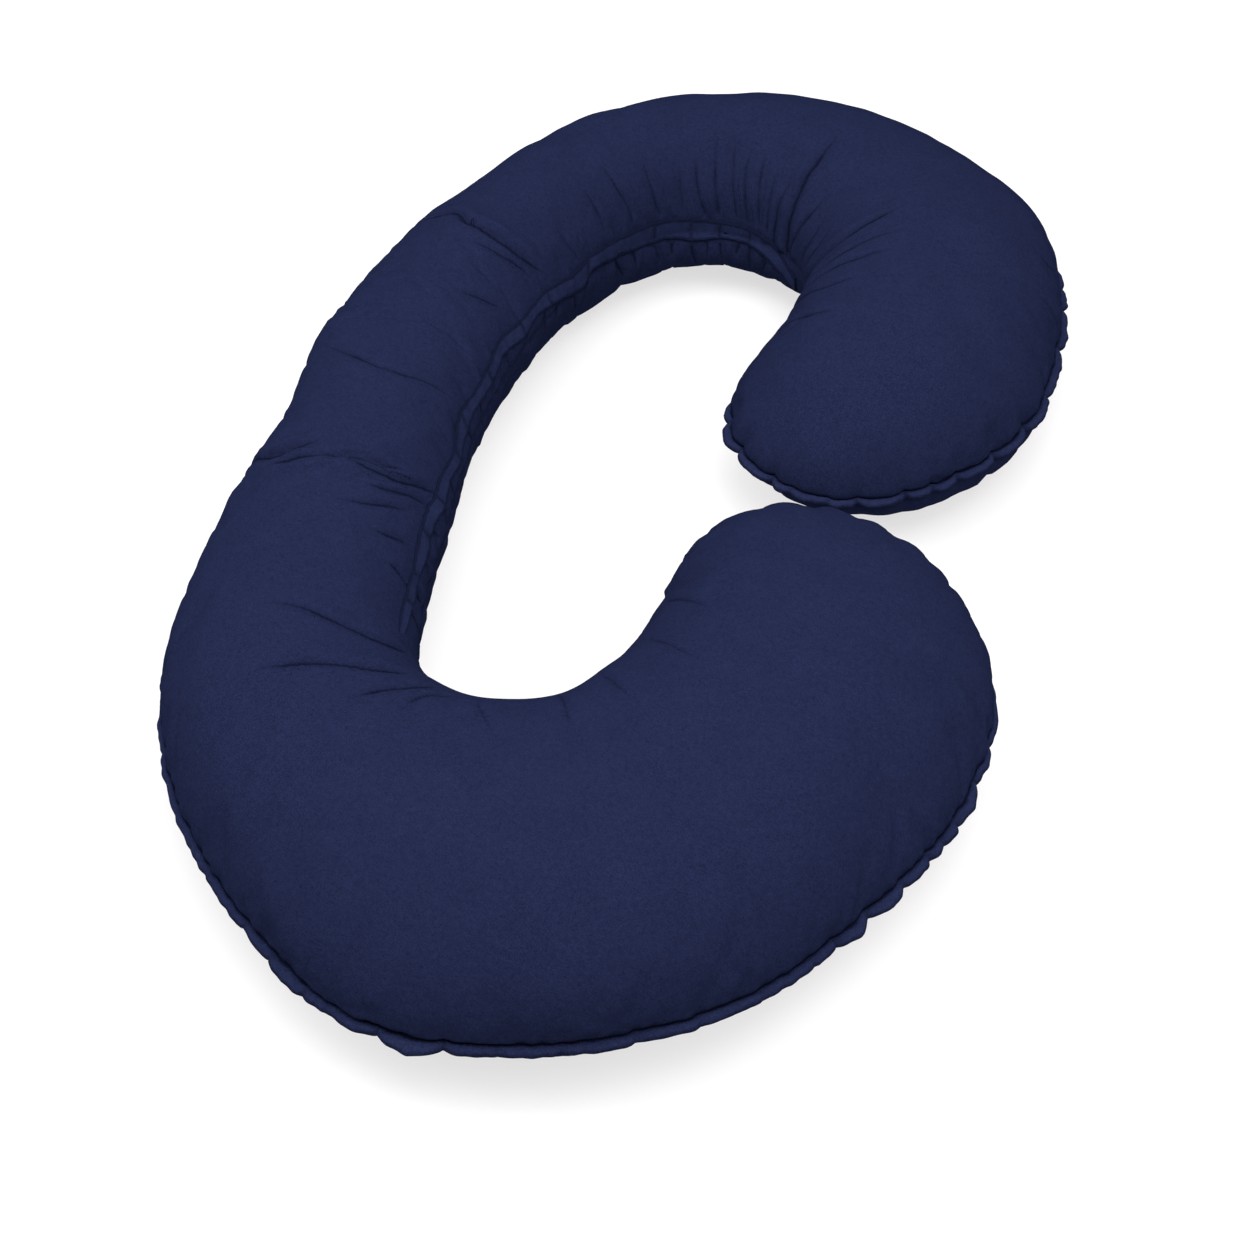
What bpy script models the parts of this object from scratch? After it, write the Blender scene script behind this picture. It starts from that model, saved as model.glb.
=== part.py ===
"""Pregnancy pillow: a filled C-shaped body, its turned-out seam flange and its zip placket.

Metres, +Z up. The pillow lies flat. X runs across the C towards its opening, Y along its length.
The origin is on the floor, under the middle of the outline.
"""

import math
from typing import NamedTuple

import bpy
import numpy as np

NAVY = (0.021, 0.028, 0.078, 1.0)
NAVY_FLANGE = (0.025, 0.034, 0.090, 1.0)
NAVY_PLACKET = (0.018, 0.024, 0.066, 1.0)

# Seam and trim sizes
EDGE_THICKNESS = 0.004
PIECE_GAP = 0.0004
FLANGE_WIDTH = 0.012
FLANGE_THICKNESS = 0.0035
FLANGE_DROOP = 0.0045
FLANGE_RUFFLE = 0.0022
FLANGE_SCALLOP_PITCH = 0.046
FLANGE_SWELL_PITCH = 0.124
FLANGE_SCALLOP_SHARE = 0.06
FLANGE_LEAST_SHARE = 0.3
FLANGE_NOTCH_RISE = 0.5
FLANGE_EDGE_TAPER = 0.9
FLANGE_LAID_FROM = 0.75
FLANGE_LAID_TO = 2.45
FLANGE_LAID_EASE = 0.14
FLANGE_LAID_ANGLE = math.radians(60)
PLACKET_THICKNESS = 0.002
PLACKET_FOOT = 0.10
PLACKET_TOP = 0.94

# Form of the cross-section
CROWN_FULLNESS = 2.15
UNDERSIDE_FULLNESS = 1.85
UNDERSIDE_BULGE = 1.55
UNDERSIDE_SAG = 0.010
CROWN_ANGLES = (90, 76, 63, 50, 38, 26, 14.5, 0)
UNDERSIDE_ANGLES = (0, 17, 33, 48)
FOLD_FADE_HEIGHT = 0.035
FOLD_END_SHARE = 0.35
CORE_HEIGHT_SHARE = 0.6
SHARP_EDGE_ANGLE = math.radians(50)

# Steps between two sections of the table, round each lobe, and from one station to the next
# along the flange, which starts and ends a few steps into each lobe
SECTION_STEPS = 7
LOBE_STEPS = 18
FLANGE_STEPS = 2
FLANGE_END_STEPS = 2

# The placket runs along the inner wall between these two rows of the section table
PLACKET_FIRST_SECTION = 2.3
PLACKET_LAST_SECTION = 13.6


class Section(NamedTuple):
    """A cut across the stuffed tube, from the C's inner wall to its outer wall."""

    inner_x: float
    inner_y: float
    outer_x: float
    outer_y: float
    crest: float
    seam: float
    inner_seam: float
    edge: float


class Tip(NamedTuple):
    """The round end of a lobe: where its seam is furthest out, and its form there."""

    x: float
    y: float
    crest: float
    seam: float
    edge: float
    fullness: float


class Fold(NamedTuple):
    """A main fold of the cloth, a soft trough along a line of the plan."""

    start_x: float
    start_y: float
    end_x: float
    end_y: float
    half_width: float
    depth: float


class Notch(NamedTuple):
    """A pinch of the flange, placed by its distance along it from the upper lobe's end."""

    along: float
    half_width: float
    depth: float


SECTIONS = (
    Section(0.456, 0.180, 0.767, 0.235, 0.180, 0.080, 0.080, 1.7),
    Section(0.472, 0.268, 0.762, 0.376, 0.188, 0.085, 0.080, 1.9),
    Section(0.480, 0.343, 0.719, 0.511, 0.190, 0.090, 0.080, 2.0),
    Section(0.463, 0.400, 0.616, 0.602, 0.190, 0.090, 0.080, 2.0),
    Section(0.415, 0.443, 0.490, 0.658, 0.190, 0.092, 0.080, 2.0),
    Section(0.360, 0.449, 0.364, 0.677, 0.190, 0.092, 0.082, 2.0),
    Section(0.304, 0.424, 0.244, 0.630, 0.186, 0.092, 0.086, 2.0),
    Section(0.261, 0.354, 0.152, 0.512, 0.180, 0.092, 0.094, 2.0),
    Section(0.236, 0.255, 0.069, 0.395, 0.184, 0.092, 0.102, 2.0),
    Section(0.223, 0.150, 0.024, 0.260, 0.190, 0.092, 0.106, 2.0),
    Section(0.218, 0.040, 0.016, 0.090, 0.190, 0.092, 0.108, 2.0),
    Section(0.227, -0.070, 0.028, -0.100, 0.190, 0.092, 0.110, 2.0),
    Section(0.244, -0.175, 0.033, -0.270, 0.190, 0.092, 0.110, 2.0),
    Section(0.258, -0.275, 0.064, -0.415, 0.190, 0.088, 0.108, 2.0),
    Section(0.282, -0.346, 0.138, -0.546, 0.190, 0.084, 0.100, 2.0),
    Section(0.325, -0.376, 0.254, -0.651, 0.190, 0.080, 0.092, 2.0),
    Section(0.370, -0.376, 0.380, -0.706, 0.190, 0.078, 0.088, 2.0),
    Section(0.415, -0.354, 0.531, -0.676, 0.190, 0.078, 0.086, 2.0),
    Section(0.443, -0.305, 0.671, -0.568, 0.190, 0.078, 0.084, 2.0),
    Section(0.458, -0.247, 0.752, -0.407, 0.186, 0.080, 0.084, 1.9),
    Section(0.465, -0.190, 0.780, -0.262, 0.181, 0.082, 0.084, 1.8),
)

UPPER_TIP = Tip(0.592, 0.017, 0.178, 0.078, 1.6, 1.95)
LOWER_TIP = Tip(0.613, -0.030, 0.176, 0.086, 1.6, 2.1)

FOLDS = (
    Fold(0.045, 0.285, 0.136, 0.231, 0.020, 0.009),
    Fold(0.136, 0.231, 0.215, 0.224, 0.016, 0.008),
    Fold(0.050, -0.015, 0.205, -0.035, 0.015, 0.003),
    Fold(0.025, -0.175, 0.120, -0.165, 0.018, 0.009),
    Fold(0.120, -0.188, 0.225, -0.165, 0.016, 0.006),
    Fold(0.149, -0.390, 0.280, -0.365, 0.016, 0.005),
    Fold(0.170, -0.470, 0.305, -0.395, 0.018, 0.007),
    Fold(0.265, -0.480, 0.335, -0.390, 0.016, 0.006),
    Fold(0.470, 0.372, 0.575, 0.392, 0.016, 0.008),
    Fold(0.440, 0.430, 0.478, 0.525, 0.016, 0.008),
    Fold(0.480, 0.305, 0.580, 0.312, 0.016, 0.005),
    Fold(0.360, 0.445, 0.364, 0.500, 0.014, 0.005),
    Fold(0.277, 0.445, 0.308, 0.415, 0.014, 0.004),
    Fold(0.565, -0.030, 0.580, -0.110, 0.014, 0.005),
)

NOTCHES = (
    Notch(0.065, 0.010, 0.45),
    Notch(0.128, 0.012, 0.35),
    Notch(0.210, 0.010, 0.30),
    Notch(0.293, 0.010, 0.40),
    Notch(0.371, 0.010, 0.40),
    Notch(0.430, 0.012, 0.55),
    Notch(0.498, 0.010, 0.45),
    Notch(0.579, 0.010, 0.40),
    Notch(0.659, 0.010, 0.40),
    Notch(2.700, 0.010, 0.35),
    Notch(2.790, 0.010, 0.40),
    Notch(2.907, 0.010, 0.55),
    Notch(3.238, 0.010, 0.45),
    Notch(3.317, 0.012, 0.50),
    Notch(3.373, 0.010, 0.50),
    Notch(3.447, 0.010, 0.50),
    Notch(3.543, 0.010, 0.45),
    Notch(3.632, 0.010, 0.45),
    Notch(3.716, 0.010, 0.40),
    Notch(3.878, 0.012, 0.60),
    Notch(4.010, 0.010, 0.45),
)


class SeamLoop(NamedTuple):
    """The seam's line round the whole C, with the ridge and the form of each of its stations."""

    rim: np.ndarray
    ridge: np.ndarray
    form: np.ndarray
    arm: np.ndarray
    arm_count: int


def smooth_rows(rows, steps):
    """Return a table's rows with steps between each two, on a Catmull-Rom curve."""
    table = np.array(rows, dtype=float)
    before = 2.0 * table[0] - table[1]
    after = 2.0 * table[-1] - table[-2]
    padded = np.vstack([before, table, after])
    result = []
    for first in range(len(table) - 1):
        a, b, c, d = padded[first:first + 4]
        for step in range(steps):
            t = step / steps
            cubic = (3.0 * b - a - 3.0 * c + d) * t ** 3
            square = (2.0 * a - 5.0 * b + 4.0 * c - d) * t ** 2
            result.append(0.5 * (2.0 * b + (c - a) * t + square + cubic))
    result.append(table[-1])
    return np.array(result)


def columns(table, *names):
    """Return the named columns of a table of sections."""
    return table[:, [Section._fields.index(name) for name in names]]


def lobe_stations(outer, ridge, first_form, last_form, tip, turn):
    """Return the stations round a lobe's end, half a turn from one wall to the other."""
    stations = []
    reach = np.array([tip.x, tip.y]) - ridge
    tip_form = np.array([tip.crest, tip.seam, tip.edge])
    power = 2.0 / tip.fullness
    for step in range(1, LOBE_STEPS):
        angle = math.pi * step / LOBE_STEPS
        across = turn * math.copysign(abs(math.cos(angle)) ** power, math.cos(angle))
        along = math.sin(angle) ** power
        share = math.sin(angle)
        rim = ridge + (outer - ridge) * across + reach * along
        first_share = (1.0 + math.cos(angle)) / 2.0
        form = first_form * first_share + last_form * (1.0 - first_share)
        stations.append((rim, ridge, form * (1.0 - share) + tip_form * share))
    return stations


def seam_loop():
    """Return the loop: outer wall, upper lobe, inner wall, lower lobe."""
    table = smooth_rows(SECTIONS, SECTION_STEPS)
    inner = columns(table, "inner_x", "inner_y")
    outer = columns(table, "outer_x", "outer_y")
    ridge = (inner + outer) / 2.0
    outer_form = columns(table, "crest", "seam", "edge")
    inner_form = columns(table, "crest", "inner_seam", "edge")
    count = len(table)
    stations = []
    arm = []
    for index in reversed(range(count)):
        stations.append((outer[index], ridge[index], outer_form[index]))
        arm.append(index)
    upper_lobe = lobe_stations(outer[0], ridge[0], outer_form[0], inner_form[0], UPPER_TIP, 1.0)
    for station in upper_lobe:
        stations.append(station)
        arm.append(0)
    for index in range(count):
        stations.append((inner[index], ridge[index], inner_form[index]))
        arm.append(index)
    lower_lobe = lobe_stations(outer[-1], ridge[-1], inner_form[-1], outer_form[-1], LOWER_TIP, -1.0)
    for station in lower_lobe:
        stations.append(station)
        arm.append(count - 1)
    rim, ridges, forms = (np.array(column) for column in zip(*stations))
    return SeamLoop(rim, ridges, forms, np.array(arm), count)


def plan_centre(shapes):
    """Return the middle of the outline of all the pieces, which is moved to the origin."""
    plan = np.array([vertex[:2] for vertices, _ in shapes for vertex in vertices])
    return (plan.min(axis=0) + plan.max(axis=0)) / 2.0


def rim_normals(rim):
    """Return the unit vectors of the plan that point out of the seam's closed line."""
    along = np.roll(rim, -1, axis=0) - np.roll(rim, 1, axis=0)
    normal = np.column_stack([-along[:, 1], along[:, 0]])
    return normal / np.linalg.norm(normal, axis=1)[:, None]


def fold_depth(points, seam):
    """Return how deep the main folds press each point in."""
    depth = np.zeros(len(points))
    for fold in FOLDS:
        start = np.array([fold.start_x, fold.start_y])
        line = np.array([fold.end_x, fold.end_y]) - start
        share = ((points[:, :2] - start) @ line / (line @ line)).clip(0.0, 1.0)
        distance = np.linalg.norm(points[:, :2] - start - share[:, None] * line, axis=1)
        trough = np.exp(-(distance / fold.half_width) ** 2)
        ends = FOLD_END_SHARE + (1.0 - FOLD_END_SHARE) * np.sin(math.pi * share)
        depth = np.maximum(depth, fold.depth * trough * ends)
    above = (points[:, 2] - seam + FOLD_FADE_HEIGHT) / FOLD_FADE_HEIGHT
    return depth * above.clip(0.0, 1.0)


def half_sections(loop):
    """Return the points from the crest down to the seam and under to the middle of the base.

    The first axis is the station and the second the row; the first and last rows are ridge points.
    """
    crest, seam, edge = loop.form.T
    reach = loop.rim - loop.ridge
    rows = []
    for degrees in CROWN_ANGLES:
        angle = math.radians(degrees)
        out = math.cos(angle) ** (2.0 / CROWN_FULLNESS) if degrees < CROWN_ANGLES[0] else 0.0
        foot = seam + EDGE_THICKNESS / 2.0
        height = foot + (crest - foot) * math.sin(angle) ** (2.0 / edge)
        rows.append(np.column_stack([loop.ridge + reach * out, height]))
    for degrees in UNDERSIDE_ANGLES:
        angle = math.radians(degrees)
        out = math.cos(angle) ** (2.0 / UNDERSIDE_FULLNESS)
        top = seam - EDGE_THICKNESS / 2.0
        height = top - (top + UNDERSIDE_SAG) * math.sin(angle) ** (2.0 / UNDERSIDE_BULGE)
        rows.append(np.column_stack([loop.ridge + reach * out, height.clip(0.0)]))
    top = seam - EDGE_THICKNESS / 2.0
    contact = np.arcsin((top / (top + UNDERSIDE_SAG)) ** (UNDERSIDE_BULGE / 2.0))
    out = np.cos(contact) ** (2.0 / UNDERSIDE_FULLNESS)
    rows.append(np.column_stack([loop.ridge + reach * out[:, None], np.zeros(len(seam))]))
    rows.append(np.column_stack([loop.ridge, np.zeros(len(seam))]))
    return np.stack(rows, axis=1)


def pressed(sections, loop):
    """Return the sections with the main folds pressed in towards the middle of the tube."""
    result = sections.copy()
    seam = loop.form[:, 1]
    for row in range(len(CROWN_ANGLES)):
        points = sections[:, row]
        core = np.column_stack([loop.ridge, seam * CORE_HEIGHT_SHARE])
        inward = core - points
        inward /= np.linalg.norm(inward, axis=1)[:, None]
        result[:, row] += inward * fold_depth(points, seam)[:, None]
    rim_row = len(CROWN_ANGLES) - 1
    result[:, rim_row] = sections[:, rim_row]
    return result


def body_shape(loop, sections):
    """Return the vertices and faces of the closed body."""
    stations, rows = sections.shape[:2]
    vertices = []
    crest_index = {}
    base_index = {}
    index = np.zeros((stations, rows), dtype=int)
    for station in range(stations):
        key = loop.arm[station]
        if key not in crest_index:
            crest_index[key] = len(vertices)
            vertices.append(sections[station, 0])
            base_index[key] = len(vertices)
            vertices.append(sections[station, -1])
        index[station, 0] = crest_index[key]
        index[station, -1] = base_index[key]
        for row in range(1, rows - 1):
            index[station, row] = len(vertices)
            vertices.append(sections[station, row])
    faces = []
    for station in range(stations):
        after = (station + 1) % stations
        for row in range(rows - 1):
            near_top, near_low = index[station, row], index[station, row + 1]
            far_top, far_low = index[after, row], index[after, row + 1]
            if near_top != far_top:
                faces.append((near_top, far_top, near_low))
            if near_low != far_low:
                faces.append((near_low, far_top, far_low))
    return vertices, faces


def strip_shape(corners):
    """Return the vertices and faces of a closed strip from its stations' four corners."""
    vertices = [corner for station in corners for corner in station]
    faces = [(3, 2, 1, 0)]
    for station in range(len(corners) - 1):
        here = 4 * station
        for side in range(4):
            a, b = here + side, here + (side + 1) % 4
            faces.append((a, b, a + 4))
            faces.append((b, b + 4, a + 4))
    last = 4 * (len(corners) - 1)
    faces.append((last, last + 1, last + 2, last + 3))
    return vertices, faces


def flange_stations(loop):
    """Return the loop's stations that carry the flange, from the lower lobe to the upper."""
    total = len(loop.rim)
    lower_lobe = range(total - (LOBE_STEPS - 1) + FLANGE_END_STEPS, total)
    outer_wall = range(loop.arm_count)
    upper_lobe = range(loop.arm_count, loop.arm_count + LOBE_STEPS - 1 - FLANGE_END_STEPS)
    return list(lower_lobe) + list(outer_wall) + list(upper_lobe)


def scallop(along):
    """Return the flange's share of its full width, and its rise, at a distance along it."""
    wave = math.sin(math.tau * along / FLANGE_SCALLOP_PITCH)
    swell = math.sin(math.tau * along / FLANGE_SWELL_PITCH)
    width = 1.0 - FLANGE_SCALLOP_SHARE * (1.0 + wave)
    rise = wave * (1.0 + swell) / 2.0
    for notch in NOTCHES:
        pinch = math.exp(-((along - notch.along) / notch.half_width) ** 2)
        width -= notch.depth * pinch
        rise += FLANGE_NOTCH_RISE * pinch
    return max(width, FLANGE_LEAST_SHARE), rise


def laid_angle(along):
    """Return how far the flange is turned down at a distance along it: it lies along the far wall."""
    rising = (along - FLANGE_LAID_FROM) / FLANGE_LAID_EASE
    falling = (FLANGE_LAID_TO - along) / FLANGE_LAID_EASE
    share = min(max(min(rising, falling), 0.0), 1.0)
    return FLANGE_LAID_ANGLE * share * share * (3.0 - 2.0 * share)


def flange_shape(loop):
    """Return the turned-out seam allowance, a ruffled strip round the outer edge."""
    normals = rim_normals(loop.rim)
    order = flange_stations(loop)
    root = []
    outward = []
    seam = []
    for first, second in zip(order[:-1], order[1:]):
        for step in range(FLANGE_STEPS):
            t = step / FLANGE_STEPS
            root.append(loop.rim[first] * (1.0 - t) + loop.rim[second] * t)
            normal = normals[first] * (1.0 - t) + normals[second] * t
            outward.append(normal / np.linalg.norm(normal))
            seam.append(loop.form[first, 1] * (1.0 - t) + loop.form[second, 1] * t)
    root = np.array(root)
    lengths = np.linalg.norm(np.diff(root, axis=0), axis=1)
    along = lengths.sum() - np.concatenate([[0.0], np.cumsum(lengths)])
    corners = []
    half = FLANGE_THICKNESS / 2.0
    edge_half = half * FLANGE_EDGE_TAPER
    for place, direction, height, distance in zip(root, outward, seam, along):
        share, rise = scallop(distance)
        angle = laid_angle(distance)
        reach = FLANGE_WIDTH * share
        near = place + direction * PIECE_GAP
        far = near + direction * reach * math.cos(angle)
        lift = height - FLANGE_DROOP + FLANGE_RUFFLE * rise - reach * math.sin(angle)
        across = direction * edge_half * math.sin(angle)
        upright = edge_half * math.cos(angle)
        corners.append((
            np.array([*near, height - half]),
            np.array([*(far - across), lift - upright]),
            np.array([*(far + across), lift + upright]),
            np.array([*near, height + half]),
        ))
    return strip_shape(corners)


def placket_shape(loop, sections):
    """Return the band over the zip, which lies on the inner wall just above the seam."""
    rim_row = len(CROWN_ANGLES) - 1
    inner_start = loop.arm_count + LOBE_STEPS - 1
    first = inner_start + round(PLACKET_FIRST_SECTION * SECTION_STEPS)
    last = inner_start + round(PLACKET_LAST_SECTION * SECTION_STEPS)
    corners = []
    for station in range(first, last + 1):
        low = sections[station, rim_row]
        high = sections[station, rim_row - 1]
        along = sections[station + 1, rim_row] - sections[station - 1, rim_row]
        outward = np.cross(high - low, along)
        outward /= np.linalg.norm(outward)
        foot = low + (high - low) * PLACKET_FOOT + outward * PIECE_GAP
        top = low + (high - low) * PLACKET_TOP + outward * PIECE_GAP
        thickness = outward * PLACKET_THICKNESS
        corners.append((foot, foot + thickness, top + thickness, top))
    return strip_shape(corners)


def new_material(name, colour, roughness):
    """Return a cloth material."""
    material = bpy.data.materials.new(name)
    material.use_nodes = True
    shader = material.node_tree.nodes["Principled BSDF"]
    shader.inputs["Base Color"].default_value = colour
    shader.inputs["Roughness"].default_value = roughness
    shader.inputs["Metallic"].default_value = 0.0
    material.diffuse_color = colour
    return material


def add_piece(name, shape, centre, material, collection):
    """Make an object from a shape, with the outline's middle moved to the origin."""
    vertices, faces = shape
    shifted = [(x - centre[0], y - centre[1], z) for x, y, z in vertices]
    mesh = bpy.data.meshes.new(name)
    mesh.from_pydata(shifted, [], [tuple(int(corner) for corner in face) for face in faces])
    mesh.validate()
    mesh.materials.append(material)
    mesh.shade_smooth()
    mesh.set_sharp_from_angle(angle=SHARP_EDGE_ANGLE)
    piece = bpy.data.objects.new(name, mesh)
    collection.objects.link(piece)
    return piece


def main():
    """Build the pillow's three pieces."""
    for thing in list(bpy.data.objects):
        bpy.data.objects.remove(thing, do_unlink=True)
    collection = bpy.data.collections.new("pregnancy_pillow")
    bpy.context.scene.collection.children.link(collection)
    loop = seam_loop()
    sections = pressed(half_sections(loop), loop)
    body = body_shape(loop, sections)
    flange = flange_shape(loop)
    placket = placket_shape(loop, sections)
    centre = plan_centre((body, flange, placket))
    add_piece("pillow_body", body, centre, new_material("jersey_body", NAVY, 0.85), collection)
    add_piece("seam_flange", flange, centre, new_material("jersey_flange", NAVY_FLANGE, 0.85), collection)
    add_piece("zip_placket", placket, centre, new_material("jersey_placket", NAVY_PLACKET, 0.85), collection)


main()
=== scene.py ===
"""Pregnancy pillow: stuffed C-shaped body, turned-out seam flange and zip placket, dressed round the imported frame.

Metres, +Z up, in the row frame. Each sub-assembly is a class with its sizes as fields, and each finish a frozen class.
"""

import logging
import math
from dataclasses import dataclass, field
from enum import Enum
from typing import Any, NamedTuple, Sequence

import bmesh
import bpy
import numpy as np
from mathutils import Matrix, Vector


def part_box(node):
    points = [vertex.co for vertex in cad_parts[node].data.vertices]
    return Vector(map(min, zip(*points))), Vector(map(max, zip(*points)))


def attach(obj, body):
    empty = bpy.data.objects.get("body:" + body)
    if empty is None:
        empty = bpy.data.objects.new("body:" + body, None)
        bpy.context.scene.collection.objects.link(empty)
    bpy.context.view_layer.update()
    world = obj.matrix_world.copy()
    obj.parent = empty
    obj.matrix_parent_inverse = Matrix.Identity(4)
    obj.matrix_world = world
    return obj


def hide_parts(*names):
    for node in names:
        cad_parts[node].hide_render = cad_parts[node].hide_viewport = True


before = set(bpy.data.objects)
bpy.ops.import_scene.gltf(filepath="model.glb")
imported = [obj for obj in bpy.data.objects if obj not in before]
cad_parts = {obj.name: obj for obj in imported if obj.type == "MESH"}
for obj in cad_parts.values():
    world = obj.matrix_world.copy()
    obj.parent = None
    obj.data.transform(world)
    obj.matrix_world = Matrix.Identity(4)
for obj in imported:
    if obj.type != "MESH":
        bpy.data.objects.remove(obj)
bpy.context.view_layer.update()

LOG = logging.getLogger("pregnancy_pillow")
TAU = math.tau


class Wall(Enum):
    """The two long walls of the C's tube."""

    OUTER = 1
    INNER = -1


class Section(NamedTuple):
    """A cut across the stuffed tube, from the C's inner wall to its outer wall."""

    inner_x: float
    inner_y: float
    outer_x: float
    outer_y: float
    crest: float
    seam: float
    inner_seam: float
    edge: float


class Tip(NamedTuple):
    """The round end of a lobe: where its seam is furthest out, and its form there."""

    x: float
    y: float
    crest: float
    seam: float
    edge: float
    fullness: float


class Crease(NamedTuple):
    """A soft crease along points given as section number and place across (0 ridge, -1 inner seam, +1 outer seam)."""

    depth: float
    half_width: float
    lead: float
    tail: float
    lip: float
    points: tuple[tuple[float, float], ...]


class Notch(NamedTuple):
    """A pinch in the seam, placed by its distance from the flange's upper end."""

    along: float
    half_width: float
    depth: float
    reach: float


Table = tuple[tuple[float, float], ...]

SECTIONS = (
    Section(0.456, 0.180, 0.767, 0.235, 0.180, 0.080, 0.080, 1.7),
    Section(0.472, 0.268, 0.762, 0.376, 0.188, 0.085, 0.080, 1.9),
    Section(0.480, 0.343, 0.719, 0.511, 0.190, 0.090, 0.080, 2.0),
    Section(0.463, 0.400, 0.616, 0.602, 0.190, 0.090, 0.080, 2.0),
    Section(0.415, 0.443, 0.490, 0.658, 0.190, 0.092, 0.080, 2.0),
    Section(0.360, 0.449, 0.364, 0.677, 0.190, 0.092, 0.082, 2.0),
    Section(0.304, 0.424, 0.244, 0.630, 0.186, 0.092, 0.086, 2.0),
    Section(0.261, 0.354, 0.152, 0.512, 0.180, 0.092, 0.094, 2.0),
    Section(0.236, 0.255, 0.069, 0.395, 0.184, 0.092, 0.102, 2.0),
    Section(0.223, 0.150, 0.024, 0.260, 0.190, 0.092, 0.106, 2.0),
    Section(0.218, 0.040, 0.016, 0.090, 0.190, 0.092, 0.108, 2.0),
    Section(0.227, -0.070, 0.028, -0.100, 0.190, 0.092, 0.110, 2.0),
    Section(0.244, -0.175, 0.033, -0.270, 0.190, 0.092, 0.110, 2.0),
    Section(0.258, -0.275, 0.064, -0.415, 0.190, 0.088, 0.108, 2.0),
    Section(0.282, -0.346, 0.138, -0.546, 0.190, 0.084, 0.100, 2.0),
    Section(0.325, -0.376, 0.254, -0.651, 0.190, 0.080, 0.092, 2.0),
    Section(0.370, -0.376, 0.380, -0.706, 0.190, 0.078, 0.088, 2.0),
    Section(0.415, -0.354, 0.531, -0.676, 0.190, 0.078, 0.086, 2.0),
    Section(0.443, -0.305, 0.671, -0.568, 0.190, 0.078, 0.084, 2.0),
    Section(0.458, -0.247, 0.752, -0.407, 0.186, 0.080, 0.084, 1.9),
    Section(0.465, -0.190, 0.780, -0.262, 0.181, 0.082, 0.084, 1.8),
)
UPPER_TIP = Tip(0.592, 0.017, 0.178, 0.078, 1.6, 1.95)
LOWER_TIP = Tip(0.613, -0.030, 0.176, 0.086, 1.6, 2.1)

# depth, half width, fade at the first end, fade at the last end, height of the lip beside it
SPINE_CREASES = (
    Crease(0.0085, 0.0085, 0.70, 0.20, 0.45,
           ((8.78, 0.95), (8.82, 0.66), (8.80, 0.42), (8.75, 0.22), (8.79, 0.05), (8.75, -0.05), (8.67, -0.25),
            (8.54, -0.48), (8.29, -0.77))),
    Crease(0.0030, 0.0060, 0.40, 0.30, 0.40, ((9.00, -0.06), (8.90, -0.22), (8.74, -0.44), (8.56, -0.66))),
    Crease(0.0028, 0.0100, 0.40, 0.30, 0.30, ((9.58, -0.22), (9.42, -0.42), (9.25, -0.63))),
    Crease(0.0024, 0.0050, 0.35, 0.30, 0.50,
           ((10.40, 0.46), (10.54, 0.32), (10.71, 0.02), (10.75, -0.18), (10.71, -0.37), (10.67, -0.57),
            (10.62, -0.70))),
    Crease(0.0085, 0.0085, 0.80, 0.25, 0.45,
           ((11.26, 0.95), (11.34, 0.72), (11.46, 0.53), (11.58, 0.32), (11.58, 0.15), (11.54, 0.05))),
    Crease(0.0040, 0.0060, 0.35, 0.45, 0.45, ((11.67, 0.38), (11.71, 0.18), (11.71, 0.07), (11.75, -0.10))),
    Crease(0.0050, 0.0065, 0.35, 0.30, 0.50, ((11.71, 0.07), (11.75, -0.10), (11.79, -0.30), (11.79, -0.48))),
    Crease(0.0055, 0.0065, 0.30, 0.25, 0.45, ((11.79, -0.08), (11.92, -0.33), (11.88, -0.52), (11.80, -0.76))),
    Crease(0.0034, 0.0055, 0.30, 0.30, 0.45, ((12.08, -0.22), (12.08, -0.42), (12.03, -0.70))),
    Crease(0.0030, 0.0055, 0.35, 0.30, 0.40, ((12.25, -0.10), (12.29, -0.30), (12.24, -0.58))),
    Crease(0.0028, 0.0055, 0.40, 0.25, 0.40, ((12.58, -0.34), (12.61, -0.50), (12.60, -0.66))),
    Crease(0.0024, 0.0050, 0.40, 0.20, 0.40, ((12.92, -0.48), (13.00, -0.62), (13.14, -0.77))),
)
LOWER_ARM_CREASES = (
    Crease(0.0036, 0.0065, 0.35, 0.15, 0.55,
           ((13.25, 0.13), (13.42, -0.02), (13.71, -0.22), (14.00, -0.42), (14.17, -0.60), (14.25, -0.72))),
    Crease(0.0040, 0.0065, 0.35, 0.15, 0.55,
           ((13.88, 0.23), (14.00, 0.08), (14.21, -0.10), (14.54, -0.32), (14.79, -0.50))),
    Crease(0.0032, 0.0060, 0.35, 0.20, 0.50, ((14.71, -0.07), (14.83, -0.22), (15.04, -0.37), (15.25, -0.54))),
    Crease(0.0022, 0.0055, 0.35, 0.25, 0.45, ((15.17, -0.20), (15.29, -0.37), (15.62, -0.48))),
    Crease(0.0016, 0.0060, 0.30, 0.40, 0.40, ((15.90, -0.55), (15.96, -0.43), (16.38, -0.18))),
    Crease(0.0015, 0.0055, 0.20, 0.45, 0.40, ((16.90, -0.62), (16.96, -0.50), (17.08, -0.18))),
    Crease(0.0015, 0.0055, 0.20, 0.45, 0.40, ((17.58, -0.60), (17.62, -0.42), (17.71, -0.18))),
    Crease(0.0015, 0.0055, 0.20, 0.45, 0.40, ((18.46, -0.60), (18.46, -0.48), (18.46, -0.20))),
    Crease(0.0018, 0.0055, 0.20, 0.45, 0.40, ((19.52, -0.76), (19.42, -0.65), (19.12, -0.33))),
)
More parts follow.
